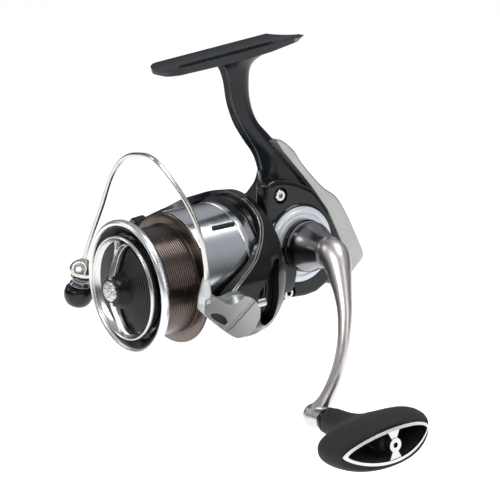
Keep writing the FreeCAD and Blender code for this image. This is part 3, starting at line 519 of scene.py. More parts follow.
def rubber(slot, colour, roughness=0.72):
    """Moulded rubber: fine pebble and a dry bloom."""
    made = Recipe(slot, colour, 0.0, roughness,
                  Specular_IOR_Level=0.3, Sheen_Weight=0.05, Sheen_Roughness=0.5)
    made.vary_colour(made.ranged(made.noise(0.2), 0, 1), shade(colour, 1.35))
    made.vary_roughness(made.noise(0.8), roughness - 0.08, roughness + 0.08)
    pebble = made.node("ShaderNodeTexVoronoi", Scale=5.0)
    made.link(made.place(), pebble.inputs["Vector"])
    made.bump(pebble.outputs["Distance"], 0.012)
    made.bump(made.noise(9.0), 0.004)
    return made.material, slot


def hammered_metal(slot, colour, valley):
    """Bright metal with an uneven, hammered face."""
    made = Recipe(slot + ".hammered", colour, 1.0, 0.2)
    made.vary_colour(made.ranged(made.noise(1.2), 0, 1), valley)
    made.bump(made.noise(1.1, detail=2.0), 0.5)
    return made.material, slot


CASE_DARK = satin_paint("case_dark", (0.007, 0.009, 0.011), roughness=0.25)
GLOSS_BLACK = gloss_paint("gloss_black", (0.004, 0.004, 0.005), roughness=0.09)
ARM_SATIN = satin_paint("gloss_black", (0.007, 0.008, 0.009), roughness=0.20)
FACE_BLACK = satin_paint("gloss_black", (0.005, 0.005, 0.006), roughness=0.22, specular=0.20)
PEARL = pearl_paint("pearl_silver", (0.45, 0.45, 0.44), roughness=0.32, metallic=0.7)
PLATE = pearl_paint("plate_silver", (0.72, 0.76, 0.80), roughness=0.34, metallic=0.35)
SMOKED = metal("smoked_chrome", (0.24, 0.24, 0.25), 0.20, 0.0008, DRIVE, "X")
NICKEL = metal("satin_nickel", (0.62, 0.59, 0.57), 0.34, 0.001)
LEVER = metal("lever_silver", (0.48, 0.49, 0.485), 0.30, 0.0006)
BRIGHT = metal("bright_steel", (0.60, 0.58, 0.54), 0.22, 0.0006)
STEEL = metal("bearing_steel", (0.50, 0.50, 0.51), 0.28, 0.002, REEL)
ALLOY = metal("gear_alloy", (0.52, 0.50, 0.44), 0.38, 0.003, DRIVE, "X")
BRASS = metal("brass", (0.62, 0.46, 0.20), 0.30, 0.003, REEL)
GRIP = rubber("grip_rubber", (0.013, 0.013, 0.015))
MATTE = rubber("matte_black", (0.008, 0.008, 0.009), roughness=0.5)
LIP = metal("lip_silver", (0.70, 0.71, 0.73), 0.28, 0.001, REEL)
# The second colour is the painted shade in the barrel's groove valleys.
BRONZE = wound_metal("bronze_dark", (0.15, 0.12, 0.105), (0.03, 0.025, 0.022), 0.24, 0.92)
SKIRT = metal("skirt_silver", (0.66, 0.68, 0.71), 0.18, 0.0004, REEL)
DRAG = metal("drag_silver", (0.62, 0.62, 0.60), 0.22, 0.0006)
FELT = rubber("felt", (0.06, 0.06, 0.06), roughness=0.9)
SEAL = rubber("seal_rubber", (0.02, 0.02, 0.02))
BUTTON = hammered_metal("drag_silver", (0.66, 0.65, 0.62), (0.30, 0.29, 0.27))


def paint_frame():
    """Give the CAD nodes that stay in sight the same finishes."""
    finishes = [CASE_DARK, GLOSS_BLACK, PEARL, PLATE, SMOKED, NICKEL, LEVER, BRIGHT, STEEL, ALLOY,
                BRASS, GRIP, MATTE, LIP, BRONZE, SKIRT, DRAG, FELT, SEAL]
    by_slot = {slot: material for material, slot in finishes}
    slots = {part["node"]: part["material_slot"] for part in frame["record"]["subparts"]}
    for name, thing in frame["nodes"].items():
        for place in thing.material_slots:
            place.material = by_slot[slots[name]]
        if not thing.material_slots:
            thing.data.materials.append(by_slot[slots[name]])


# ---------------------------------------------------------------- spool


SKIRT_RADIUS = 25.0
SLOT_TURN = 52


def spool():
    """The spool's lip with its black insert, its wound barrel, and its skirt, on which a black bar paints the
    shade of a slot.
    """
    lip = [(20.4, -64.9), (20.4, -66.6), (22.4, -67.2), (22.95, -69.0), (23.5, -69.9), (24.3, -70.2),
           (25.1, -69.7), (25.5, -68.7), (25.4, -67.6), (24.6, -66.6), (23.2, -66.1), (20.8, -64.7)]
    piece(turned(lip, REEL, count=160), "lip_ring", "spool", LIP, ["spool_lip"], edge=0.25)
    insert = [(20.3, -66.7), (20.3, -67.5), (21.4, -68.1), (22.5, -69.2), (22.85, -69.2), (22.85, -68.6),
              (22.3, -67.3)]
    piece(turned(insert, REEL, count=160), "lip_insert", "spool", FACE_BLACK, edge=0.1)
    barrel = [(19.1, -66.2), (20.5, -66.2), (20.5, -50.9), (20.9, -50.35), (24.4, -50.2), (25.0, -49.9),
              (25.1, -49.1), (6.5, -49.1), (6.5, -46.7), (4.9, -46.7), (4.9, -58.4), (6.4, -58.4),
              (6.4, -50.4), (19.1, -50.4)]
    piece(turned(barrel, REEL, count=160), "line_barrel", "spool", BRONZE, ["spool_barrel"], edge=0.15)
    skirt = [(23.8, -49.05), (24.5, -49.05), (24.9, -48.6), (24.9, -29.75), (24.72, -29.6), (24.72, -29.3),
             (25.1, -29.1), (25.1, -26.2), (24.9, -25.5), (24.0, -25.5), (23.8, -26.0)]
    piece(turned(skirt, REEL, count=200), "skirt_shell", "spool", SKIRT, ["spool_skirt"], edge=0.12)
    # The raised black bar on the skirt is painted shade: it stands in for the dark inside of a slot.
    turn = math.radians(SLOT_TURN)
    slot_shade_path = [(SKIRT_RADIUS * math.cos(turn), y, SKIRT_RADIUS * math.sin(turn)) for y in (-39.6, -30.1)]
    slot = swept(smooth(slot_shade_path, 6), 0.95, REEL, sides=20)
    piece(slot, "skirt_slot_shade", "spool", MATTE)


FACE_STEPS = 9
FACE_STEP_IN = 0.95
FACE_STEP_OUT = 0.34


def drag_knob():
    """The drag knob: a bright rim, a black stepped face, two forked blades and a button in a collar."""
    rim = [(17.4, -68.6), (19.5, -68.6), (19.8, -69.3), (19.8, -70.9), (19.6, -71.4), (19.3, -71.6),
           (19.0, -71.4), (18.5, -70.3), (17.6, -69.4)]
    piece(turned(rim, REEL, count=160), "drag_rim", "drag_knob", DRAG, ["drag_knob_ring"], edge=0.1)
    face = [(17.35, -66.4), (17.35, -69.5), (16.6, -69.7)]
    for step in range(FACE_STEPS):
        radius = 16.2 - step * FACE_STEP_IN
        front = -69.8 - step * FACE_STEP_OUT
        face += [(radius, front), (radius - 0.12, front - 0.26), (radius - 0.7, front - 0.30)]
    face += [(7.6, -73.3), (7.2, -74.2), (6.2, -74.9), (2.2, -74.9), (2.2, -66.4)]
    piece(turned(face, REEL, count=120), "drag_face", "drag_knob", FACE_BLACK, ["drag_knob_cone"], edge=0.06)
    blades = []
    blade_space = REEL @ about("Y", 2)
    for way in (1, -1):
        stations = [(17.3, 4.4, -70.2, -72.0), (15.6, 2.6, -70.6, -72.9), (13.2, 1.75, -71.4, -73.9),
                    (9.8, 1.55, -72.8, -75.1), (7.0, 1.5, -73.6, -76.1), (4.4, 1.5, -74.2, -76.6)]
        loops = []
        for radius, half, back, front in stations:
            ridge = half * 0.42
            loops.append([(x, y, way * radius) for x, y in (
                (-half, back), (-half * 0.95, front + 0.75), (-ridge, front), (ridge, front),
                (half * 0.95, front + 0.75), (half, back))])
        notch = slab([(-1.7, way * 17.6), (1.7, way * 17.6), (0, way * 14.6)], -73, -69.6, blade_space, "Y")
        blades.append(cut(stacked(loops, blade_space), notch))
    piece(whole(blades), "drag_blades", "drag_knob", DRAG, ["drag_knob_blades"], edge=0.18)
    cap = [(0, -77.85), (2.4, -77.85), (3.3, -77.6), (3.9, -77.0), (4.1, -76.2), (4.1, -74.3), (0, -74.3)]
    button = turned(cap, REEL, count=96)
    piece(button, "drag_button", "drag_knob", BUTTON, ["drag_knob_button"], edge=0.1)
    collar = [(4.15, -73.2), (7.4, -73.2), (6.6, -74.6), (5.9, -75.9), (5.4, -76.3), (4.15, -76.3)]
    piece(turned(collar, REEL, count=96), "drag_collar", "drag_knob", FACE_BLACK, edge=0.1)


# ---------------------------------------------------------------- rotor and bail

ARM_FRONT = [(0, -47.6), (7, -47.3), (12, -46.2), (17, -43.2), (22, -39.2), (26, -35.8), (31.5, -32.2),
             (37.5, -29.4), (43, -27.0), (48, -25.3), (56, -23.2), (64, -22.0), (75, -21.4), (90, -21.2)]
ARM_REAR = [(0, -15.4), (45, -15.6), (68, -16.4), (90, -16.6)]
DRUM_RADIUS = 28.0
ARM_RISE = [(0, 32.3), (16, 31.9), (30, 30.6), (48, 29.2), (90, 28.5)]
WINDOW = [(-21.4, 8.5), (-18.8, 14.4), (-22.0, 14.6), (-26.0, 11.6), (-31.6, 5.4), (-32.4, 1.5),
          (-31.6, -3.5), (-27.5, -9.5), (-22.5, -13.0), (-20.6, -10.0)]


def arm_angle(degrees):
    """How far an angle is from the nearer of the two arms."""
    return abs((degrees + 90) % 180 - 90)


def arm_skin(degrees, share):
    """A place on the rotor's outer skin, share running from its rear edge to its front edge."""
    fold = arm_angle(degrees)
    rear = eased(ARM_REAR, fold)
    front = eased(ARM_FRONT, fold) if fold < 10 else level(ARM_FRONT, fold)
    along = rear + (front - rear) * share
    rise = eased(ARM_RISE, fold)
    flare = max(0.0, min(1.0, (-16 - along) / 9))
    radius = DRUM_RADIUS + (rise - DRUM_RADIUS) * flare
    if share > 0.9:
        radius -= 0.5 * ((share - 0.9) / 0.1) ** 2
    if share < 0.12:
        radius -= 0.9 * ((0.12 - share) / 0.12) ** 2
    turn = math.radians(degrees)
    return radius * math.cos(turn), along, -radius * math.sin(turn)


def rotor_shell():
    """The flared drum with its two arms, as one skin of even thickness."""
    loops = []
    for n in range(240):
        degrees = n * 1.5
        turn = math.radians(degrees)
        outer = [arm_skin(degrees, k / 16) for k in range(17)]
        inner_radius = 26.5 + 0.9 * max(0.0, 1 - arm_angle(degrees) / 40)
        inner = [(inner_radius * math.cos(turn), y, -inner_radius * math.sin(turn))
                 for _, y, _ in reversed(outer)]
        loops.append(outer + inner)
    shell = stacked(loops, BAIL, closed=True)
    for space in (BAIL, FAR_ARM):
        cut(shell, slab(rounded(WINDOW, 1.2), 20, 36, space))
        cut(shell, turned([(0, 20), (2.35, 20), (2.35, 36), (0, 36)], space @ shift(0, BAIL_PIVOT, 0),
                          "X", 32))
    return shell


def arm_pinstripes():
    """Two bright lines just inside the front edge of each arm."""
    stripes = []
    for inset in (0.55, 1.75):
        for start in (0, 180):
            path = []
            for n in range(60):
                fold = 11 + n * 1.3
                width = eased(ARM_REAR, fold) - level(ARM_FRONT, fold)
                path.append(arm_skin(start - fold, 1 - inset / width))
            stripes.append(swept(path, 0.24, BAIL, sides=8))
    return whole(stripes)


def rotor():
    """The rotor's shell, the black parts inside and behind it, and the two pins on which the bail swings."""
    piece(rotor_shell(), "rotor_shell", "rotor", ARM_SATIN, ["rotor", "near_arm_cover", "far_arm_cover"],
          edge=0.35)
    cup = [(21.4, -40.9), (21.9, -41.0), (23.0, -40.6), (23.0, -29.6), (23.6, -28.6), (26.6, -25.4),
           (26.6, -24.6), (20.4, -24.6), (20.4, -26.4), (5.0, -26.4), (5.0, -29.0), (21.4, -29.0)]
    piece(turned(cup, REEL, count=140), "rotor_cup", "rotor", GLOSS_BLACK, edge=0.2)
    rear = [(26.9, -20.5), (27.6, -19.4), (27.5, -17.2), (26.6, -15.6), (25.2, -15.3), (20.4, -15.7),
            (20.2, -16.4), (20.2, -24.4), (26.9, -24.4)]
    piece(turned(rear, REEL, count=160), "rotor_rear", "rotor", GLOSS_BLACK, edge=0.3)
    piece(arm_pinstripes(), "arm_pinstripes", "rotor", BRIGHT)
    screws = []
    for space in (BAIL, FAR_ARM):
        screws.append(turned([(0, 27.5), (2.15, 27.5), (2.15, 36.9), (3.3, 37.2), (3.3, 37.5), (0, 37.5)],
                             space @ shift(0, BAIL_PIVOT, 0), "X", 48))
    piece(whole(screws), "pivot_pins", "rotor", STEEL, ["bail_pivot_screws"], edge=0.12)


LEVER_EDGE = [(-61.0, 12.6), (-57.4, 12.8), (-55.0, 10.9), (-52.2, 9.6), (-47.4, 10.3), (-43.0, 9.8),
              (-39.0, 7.5), (-36.2, 3.6), (-35.4, -0.8), (-36.5, -4.7), (-39.8, -7.3), (-43.8, -7.7),
              (-48.0, -5.4), (-55.4, 0.8), (-60.9, 6.2), (-61.6, 8.2), (-61.7, 10.6)]
LEVER_FACE = 37.9


def bail_lever():
    """The lever at the wire's near end: a plate with a scoop, a seam and an eye filled with a black piece as
    painted shade, and the wire's horn.
    """
    plate = slab(smooth_loop(LEVER_EDGE, 5), 33.5, LEVER_FACE, BAIL)
    cut(plate, sphere(10.0, BAIL @ shift(LEVER_FACE + 7.2, -48.6, 14.6)))
    seam_start, seam_end = Vector((-37.6, 8.6)), Vector((-50.0, -3.3))
    along = (seam_end - seam_start).normalized()
    across = Vector((-along.y, along.x))
    for offset in (-0.55, 0.55):
        a, b = seam_start + across * offset, seam_end + across * offset
        groove = [a + across * 0.16, b + across * 0.16, b - across * 0.16, a - across * 0.16]
        cut(plate, slab(groove, LEVER_FACE - 0.35, LEVER_FACE + 1, BAIL))
    eye = [(-58.2, 5.9), (-55.4, 5.5), (-52.2, 3.6), (-50.2, 1.0), (-51.0, -0.3), (-54.0, 1.2), (-57.6, 4.2)]
    cut(plate, slab(smooth_loop(eye, 5), LEVER_FACE - 1.6, LEVER_FACE + 1, BAIL))
    piece(plate, "lever_plate", "bail", LEVER, ["bail_lever"], edge=0.7, turns=4)
    # The eye's black fill is painted shade: a dark piece put where the opening would show shade.
    eye_shade = slab(smooth_loop(eye, 5), LEVER_FACE - 2.0, LEVER_FACE - 0.7, BAIL)
    piece(eye_shade, "lever_eye_shade", "bail", MATTE, edge=0.1)
    horn = smooth([(35.4, -60.0, 10.4), (35.3, -60.2, 13.0), (35.1, -60.3, 16.0), (35.0, -60.35, 19.6)], 12)
    sizes = [blended([(2.7,), (2.5,), (1.95,), (1.35,)], n / 12)[0] for n in range(13)]
    piece(swept(horn, sizes, BAIL, sides=32), "lever_horn", "bail", LEVER, edge=0.2)


WIRE_ROUTE = [(35, -60.3, 17.7), (35, -61.4, 25.6), (31, -63.2, 37.5), (23, -65.6, 47.5),
              (8, -68.4, 55.6), (-7, -66, 51), (-20, -62.8, 42.6), (-27.6, -61.6, 32), (-30.2, -62.8, 18),
              (-32.8, -64.6, 3.5), (-33.8, -65.7, -5.2)]


def bail_wire():
    """The round wire from the lever's horn over the spool to the roller's cone."""
    piece(swept(smooth(WIRE_ROUTE, 140), 0.9, BAIL, sides=20), "wire_arch", "bail", BRIGHT, ["bail_wire"])


def roller_end():
    """The far end of the bail: a plate down to a round black end, the roller and the wire's bright cone."""
    arm = [(-66.4, -18.4), (-60.4, -18.4), (-59.6, -15.5), (-49.5, -3.5), (-43.5, 6.2), (-38, 6.6),
           (-34.4, 3), (-34.4, -2.6), (-38, -6.6), (-44, -9.6), (-58.8, -22.6), (-66.4, -23.2)]
    plate = slab(rounded(arm, 1.2), -37.2, -33.4, BAIL)
    end = turned([(0, -16.8), (4.2, -16.8), (5.3, -17.8), (5.75, -19.4), (5.75, -20.8), (5.3, -22.6),
                  (4.3, -24.2), (2.6, -25.2), (0, -25.6)], ROLLER, "Z", 64)
    piece(plate, "roller_bracket", "bail", GLOSS_BLACK, ["roller_arm"], edge=0.5, turns=4)
    piece(end, "roller_ball", "bail", GLOSS_BLACK, edge=0.3, sharp=50)
    cone = [(1.2, -12.0), (3.9, -12.0), (4.9, -11.2), (5.2, -9.8), (4.7, -8.5), (3.6, -7.2), (2.3, -6.2),
            (1.4, -5.5), (0, -5.45), (0, -8)]
    piece(turned(cone, ROLLER, "Z", 64), "roller_cone", "bail", BRIGHT, ["roller_collar"], edge=0.2)
    face = ROLLER @ shift(1.6, -2.6, -8.6) @ about("Z", 42) @ about("X", 58)
    boss = turned([(0, -2.6), (3.2, -2.6), (3.2, 0.7), (2.9, 1.1), (2.45, 1.1), (2.2, 0.1), (0, 0.1)],
                  face, "Z", 48)
    piece(boss, "roller_boss", "bail", BRIGHT, edge=0.12)
    head = turned([(0, -0.2), (1.9, -0.2), (1.9, 0.5), (1.5, 0.8), (0, 0.85)], face, "Z", 40)
    for turn in (0, 90):
        blade = [(-1.1, -0.22), (1.1, -0.22), (1.1, 0.22), (-1.1, 0.22)]
        cut(head, slab(blade, 0.3, 2.0, face @ about("Z", turn), "Z"))
    piece(head, "roller_head", "bail", BRIGHT, ["roller_screw"], edge=0.06)
    groove = [(2.7, -16.5), (4.0, -16.5), (4.25, -16.0), (3.6, -14.9), (3.45, -14.3), (3.6, -13.8),
              (4.25, -12.8), (4.0, -12.3), (2.7, -12.3)]
    piece(turned(groove, ROLLER, "Z", 64), "line_wheel", "roller", SMOKED, ["line_roller"], edge=0.15)


# ---------------------------------------------------------------- case, stem and foot

STEM = [(20, 6, 7.4, 10.0), (27, 4.0, 7.0, 8.8), (33, 2.6, 6.6, 8.0), (40, -1.2, 6.2, 6.2),
        (47, -6.6, 5.4, 5.6), (54, -11.6, 4.6, 4.8), (62, -14.2, 4.2, 4.9), (70, -14.8, 4.3, 5.4),
        (75, -15.0, 4.9, 6.8), (77.4, -15.0, 6.0, 9.6), (79.2, -14.8, 7.4, 13.5)]
CASE_SIDE = [(-15.1, 20.0), (-8.6, 23.5), (-5.0, 28), (-3.6, 33), (-2.8, 44.0), (-1.6, 44.0), (2.4, 38.6),
             (7, 33.6), (12.6, 26.4), (20.2, 15), (25.4, 4), (28.6, -4), (28.6, -9.5), (25, -13.2),
             (16, -15.2), (2, -15.4), (-9, -14.4), (-15.1, -12.6)]
CASE_LEFT = [(-16, -14.0), (14, -14.0), (20, -11.0), (25, -7.8), (30, -6.0), (38, -5.0), (45, -4.2)]
CASE_RIGHT = [(-16, 8.0), (24, 8.0), (34, 7.6), (45, 6.8)]


def width_at(outline, height):
    """The lowest and highest first coordinate of a closed outline at a height."""
    found = []
    for (a, low), (b, high) in zip(outline, outline[1:] + outline[:1]):
        if low != high and min(low, high) <= height <= max(low, high):
            found.append(a + (b - a) * (height - low) / (high - low))
    return min(found), max(found)


def case_shell():
    """The case below the stem: a box whose four sides all lean in towards the top."""
    loops = []
    low, high, count = -15.3, 43.9, 56
    corner_power = 0.3
    for n in range(count + 1):
        height = low + (high - low) * n / count
        front, rear = width_at(CASE_SIDE, height)
        left, right = level(CASE_LEFT, height), level(CASE_RIGHT, height)
        loops.append([
            ((left + right) / 2 + (right - left) / 2 * softened(c, corner_power),
             (front + rear) / 2 + (rear - front) / 2 * softened(s, corner_power), height)
            for c, s in ring(1, 64)])
    return stacked(loops, REEL)


def stem():
    """The curved stem, a little narrower along its front."""
    loops = []
    for height, centre, half_x, half_y in smooth(STEM, 60):
        loops.append([(half_x * c * (1 - 0.12 * max(0, -s)), centre + half_y * s, height)
                      for c, s in ring(1, 48)])
    return stacked(loops, REEL)


# Along the foot, from its front at 0 to the tip of its tail at 1.
FOOT_TAIL = [(0, 1), (0.85, 1), (0.92, 0.62), (0.97, 0.36), (1.0, 0.22)]
FOOT_DEPTH = [(0, 3.2), (0.06, 3.9), (0.3, 4.3), (0.5, 4.7), (0.7, 4.1), (0.9, 2.8), (1.0, 1.6)]
FOOT_SLOT = [(0, 0), (0.12, 0), (0.2, 1), (0.78, 1), (0.84, 0), (1, 0)]


def foot():
    """The foot: a tapering plank with a trough along its top, a round front and a pointed tail."""
    length, half, forward = 66.2, 9.1, 1.3
    top_level, bottom_level = 2.65, 0.85
    trough_radius = 24.0
    slot_half, slot_edge, slot_depth = 1.8, 0.5, 1.7
    count = 100
    loops = []
    for n in range(count + 1):
        share = n / count
        along = -length / 2 + length * share + forward
        front = min(1.0, math.sqrt(max(0.0, 1 - (1 - min(share / 0.07, 1)) ** 2)) * 0.42 + 0.58)
        wide = half * min(front, level(FOOT_TAIL, share))
        depth = level(FOOT_DEPTH, share)
        dip = slot_depth * level(FOOT_SLOT, share)
        top = []
        for k in range(49):
            x = wide * (-1 + k / 24)
            trough = trough_radius - math.sqrt(trough_radius ** 2 - x * x)
            slot = dip * (1 if abs(x) < slot_half else max(0.0, 1 - (abs(x) - slot_half) / slot_edge))
            top.append((x, along, trough - top_level - slot))
        bottom = [(x * 0.93, along, -depth - bottom_level + 1.2 * (abs(x) / half) ** 3)
                  for x, _, _ in reversed(top)]
        loops.append(top + bottom)
    return stacked(loops, FOOT)


def case():
    """The case with its collar, nose and stem as one hollow casting, and the foot above it."""
    collar = turned([(0, -4), (19.4, -4), (19.4, -19.6), (18.9, -20.1), (0, -20.1)], REEL, count=96)
    nose = turned([(0, -16), (12.6, -16), (12.6, -25.1), (12.1, -25.6), (0, -25.6)], REEL, count=96)
    channel_path = smooth([(0, -24.6, 82), (0, -22.6, 77), (0, -21.0, 70), (0, -20.4, 62), (0, -17.6, 54),
                           (0, -13.4, 47), (0, -9.2, 40), (0, -7.4, 33)], 40)
    channel = swept(channel_path, [2.6 + 0.9 * math.sin(math.pi * n / 40) for n in range(41)], REEL, sides=24)
    hull = fused(case_shell(), collar, nose, stem())
    cast(hull, 0.45, 6)
    bore = turned([(0, -30), (11.2, -30), (11.2, -17.4), (17.8, -17.4), (17.8, -4), (0, -4)], REEL, count=96)
    lower = [(-12, 12), (-5, 14), (14, 14), (17, 11), (24, -3), (22, -11), (2, -12.6), (-12, -11)]
    upper = [(-8, 10), (-4, 23), (6, 25), (14, 14), (14, 10)]
    cavity = slab(rounded(lower, 2), -12.6, 9, REEL)
    cavity_top = slab(rounded(upper, 2), -6.4, 9, REEL)
    cut(hull, channel, bore, cavity, cavity_top)
    piece(hull, "case_body", "case", CASE_DARK, ["body_frame"], sharp=60)
    piece(foot(), "foot_plank", "case", CASE_DARK, edge=0.5, sharp=40)


COVER_SCREWS = [(-7.5, 26.5), (-5.6, -12.2)]


def side_cover():
    """The black cover on the handle side, with a round boss for the plate and two screws in recesses."""
    edge = [(-15.1, 20), (-14.0, 31.6), (-9.9, 32.8), (-5.2, 32.3), (-0.5, 30.9), (4.2, 28.7), (8, 26.5),
            (11.2, 22.8), (15.8, 16), (19.4, 9), (22.0, 2.6), (22.6, -3.0), (20.4, -8.0), (14.6, -11.6),
            (8.5, -14.6), (3, -15.2), (-9, -14.2), (-15.1, -11.6)]
    plate = slab(rounded(edge, 2.0), 8.1, 15.4, REEL)
    ease = plate.modifiers.new("edges", "BEVEL")
    ease.width = 3.4 * MM
    ease.segments = 8
    ease.limit_method = "ANGLE"
    settle(plate)
    heads = []
    for along, up in COVER_SCREWS:
        place = REEL @ shift(0, along, up)
        cut(plate, turned([(0, 13.2), (2.9, 13.2), (3.4, 17), (0, 17)], place, "X", 48))
        head = turned([(0, 13.0), (2.2, 13.0), (2.2, 15.2), (1.9, 15.5), (0, 15.5)], place, "X", 40)
        cut(head, slab(ring(1.1, 6), 14.2, 17, place))
        heads.append(head)
    boss = turned([(0, 10), (15.6, 10), (15.6, 15.6), (15.0, 16.4), (14.75, 16.4), (0, 16.4)], DRIVE, "X",
                  120)
    piece(plate, "cover_shell", "case", GLOSS_BLACK, ["side_cover"])
    piece(boss, "cover_boss", "case", GLOSS_BLACK, edge=0.2)
    piece(whole(heads), "cover_heads", "case", BRIGHT, ["cover_screws"], edge=0.12)


def engine_plate():
    """The silver plate round the handle's foot, with raised rings."""
    face = [(8.0, 16.0), (14.6, 16.0), (14.7, 16.6), (14.5, 17.2), (13.6, 17.35), (13.4, 17.7), (12.2, 17.8),
            (12.0, 17.5), (11.6, 17.5), (11.4, 17.95), (9.0, 18.05), (8.8, 17.6), (8.0, 17.6)]
    piece(turned(face, DRIVE, "X", 140), "plate_disc", "case", PLATE, ["engine_plate"], edge=0.12)


PROTECTOR_OUTER = [(-4, 47.4), (-0.4, 45), (3.3, 41.3), (6.4, 36.5), (11.4, 30.4), (16.6, 24.9),
                   (22.8, 20.0), (27.4, 12.6), (32, 2.9), (35.0, -4.2), (34.6, -6.9), (31.4, -9.6),
                   (26.7, -12.9), (19, -14.6)]
PROTECTOR_INNER = [(16, -13.4), (25.1, -12.0), (26.6, -6.8), (25.6, -0.9), (22.6, 6.1), (18.1, 15.8),
                   (10.6, 26.5), (5.8, 32.6), (1.3, 38.1), (-2.3, 42.6), (-4.4, 46.0)]


def rear_protector():
    """The pearl shell round the case's back, fullest at the middle of its width."""
    half, bulge, drop = 10.8, 5.0, 2.0
    outline = smooth(PROTECTOR_OUTER, 52)
    loops = []
    for n in range(17):
        across = -half + 2 * half * n / 16
        full = 1 - (across / half) ** 2
        outer = [(y + bulge * full, z - drop * full) for y, z in outline]
        loops.append([(across, y, z) for y, z in outer + PROTECTOR_INNER])
    piece(stacked(loops, REEL), "protector_shell", "case", PEARL, ["rear_protector"], edge=0.7, turns=4)


def left_cap():
    """The screw cap on the side away from the handle."""
    cap = [(0, -13.8), (8.2, -13.8), (8.3, -15.0), (7.9, -16.4), (6.8, -17.1), (5.2, -17.4), (5.0, -16.9),
           (0, -16.9)]
    piece(turned(cap, DRIVE, "X", 80), "left_cap_disc", "case", SMOKED, ["left_cap"], edge=0.2)


# ---------------------------------------------------------------- handle


def handle():
    """The handle's collar and foot ring, and the curved arm down to the knob."""
    base = [(7.0, 18.3), (10.0, 18.3), (10.15, 18.9), (10.1, 20.0), (9.9, 20.2), (7.0, 20.2)]
    piece(turned(base, DRIVE, "X", 96), "collar_base", "crank", GLOSS_BLACK, ["collar_ring"], edge=0.15)
    cone = [(4.0, 20.3), (9.6, 20.3), (9.8, 20.9), (9.75, 23.4), (9.3, 24.6), (8.6, 26.0), (7.6, 28.4),
            (6.9, 30.6), (6.4, 33.0), (6.0, 34.1), (4.0, 34.1)]
    piece(turned(cone, DRIVE, "X", 96), "collar_cone", "crank", SMOKED, ["handle_collar"], edge=0.15)
    stations = smooth([(33.6, -0.2, 5.0), (35.0, 0, 5.6), (37.4, 0.8, 5.7), (40.4, 3.4, 5.3),
                       (43.8, 8.0, 4.4), (47.6, 13.8, 3.4), (51.4, 21.0, 2.8), (54.2, 30.5, 2.4),
                       (54.8, 39.3, 2.3), (53.8, 47.4, 2.4), (51.8, 53.6, 2.7), (50.0, 57.2, 3.4)], 72)
    path = [(x, 0, -down) for x, down, _ in stations]
    leg = swept(path, [radius for _, _, radius in stations], CRANK, sides=40)
    ball = turned([(4.6 * math.sin(math.pi * n / 24), -4.6 * math.cos(math.pi * n / 24)) for n in range(25)],
                  CRANK @ shift(48.4, 0, -CRANK_RADIUS), "X", 48)
    neck = turned([(0, 48), (4.4, 48), (4.1, 51.4), (3.7, 54.4), (0, 54.4)], KNOB, "X", 48)
    arm = fused(leg, ball, neck)
    cast(arm, 0.35, 6)
    piece(arm, "arm_bar", "crank", NICKEL, ["handle_arm"], sharp=60)


GRIP_BOW = 5.2
GRIP_HALF = 21


def bowed(thing):
    """Bend a piece of the grip so that its two ends stand back from its middle."""
    back = GRIP_SPACE.inverted()
    for point in thing.data.vertices:
        place = back @ point.co
        share = max(0.0, min(1.0, (place.x - 66) / 16))
        place.x -= GRIP_BOW * share * (place.y / GRIP_HALF) ** 2
        point.co = GRIP_SPACE @ place
    return thing


def almond(half_long, half_tall):
    """A lens outline, long across Y, with softly pointed ends."""
    return [(half_long * c, half_tall * softened(s, 1.44)) for c, s in ring(1, 64)]


def knob():
    """The T-shaped knob: rings at its neck, a rubber grip, a bright trim with a cross strut, and a plug."""
    rings = [turned([(2.2, 54.6), (4.2, 54.6), (4.3, 54.9), (4.3, 55.6), (4.1, 55.9), (2.2, 55.9)], KNOB,
                    "X", 64), turned([(2.2, 55.95), (4.8, 55.95), (4.95, 56.3), (4.95, 57.1), (4.7, 57.4),
                                      (2.2, 57.4)], KNOB, "X", 64)]
    piece(whole(rings), "neck_rings", "knob", GLOSS_BLACK, ["knob_collars"], edge=0.12)
    stations = [(57.6, 4.7, 4.7), (59, 5.05, 5.05), (62, 5.2, 5.1), (67, 5.8, 5.2), (72, 8.2, 5.8),
                (76, 13.6, 7.0), (80, 19.6, 8.2), (84, 22.2, 8.9), (88, 22.7, 9.2), (91.5, 22.2, 8.9),
                (93.4, 21.4, 8.2), (94.1, 20.6, 7.4)]
    loops = []
    side_power = 0.86
    for x, long, tall in smooth(stations, 60):
        loops.append([(x, long * softened(c, side_power), tall * softened(s, side_power))
                      for c, s in ring(1, 72)])
    grip = stacked(loops, GRIP_SPACE)
    cut(grip, slab(almond(20.3, 6.7), 93.3, 96, GRIP_SPACE), slab(almond(18.6, 5.5), 83, 96, GRIP_SPACE))
    piece(bowed(grip), "grip_body", "knob", GRIP, ["knob_grip"], edge=0.3, sharp=50)
    rim = zip(almond(20.2, 6.6), almond(18.5, 5.4))
    trim = stacked([[(93.35, *out), (94.6, *out), (94.8, *inner), (93.35, *inner)] for out, inner in rim],
                   GRIP_SPACE, closed=True)
    strut = slab([(-3.0, -6.0), (3.0, -6.0), (1.1, -2.2), (1.1, 2.2), (3.0, 6.0), (-3.0, 6.0),
                  (-1.1, 2.2), (-1.1, -2.2)], 93.3, 94.5, GRIP_SPACE)
    edge_of_trim = slab(almond(19.6, 6.1), 92, 96, GRIP_SPACE)
    combined(strut, [edge_of_trim], "INTERSECT")
    ring_hub = turned([(1.0, 90.4), (2.6, 90.4), (2.6, 94.9), (1.0, 94.9)], GRIP_SPACE, "X", 48)
    cut(strut, turned([(0, 90), (1.8, 90), (1.8, 96), (0, 96)], GRIP_SPACE, "X", 40))
    piece(whole([bowed(trim), bowed(strut), ring_hub]), "grip_frame", "knob", DRAG, ["knob_trim"], edge=0.25)
    plug = turned([(0, 82.8), (3.4, 82.8), (3.4, 90.3), (2.4, 90.3), (2.4, 92.6), (0, 92.6)], GRIP_SPACE,
                  "X", 40)
    piece(plug, "grip_plug", "knob", MATTE, ["knob_cap"], edge=0.1)


# ---------------------------------------------------------------- set


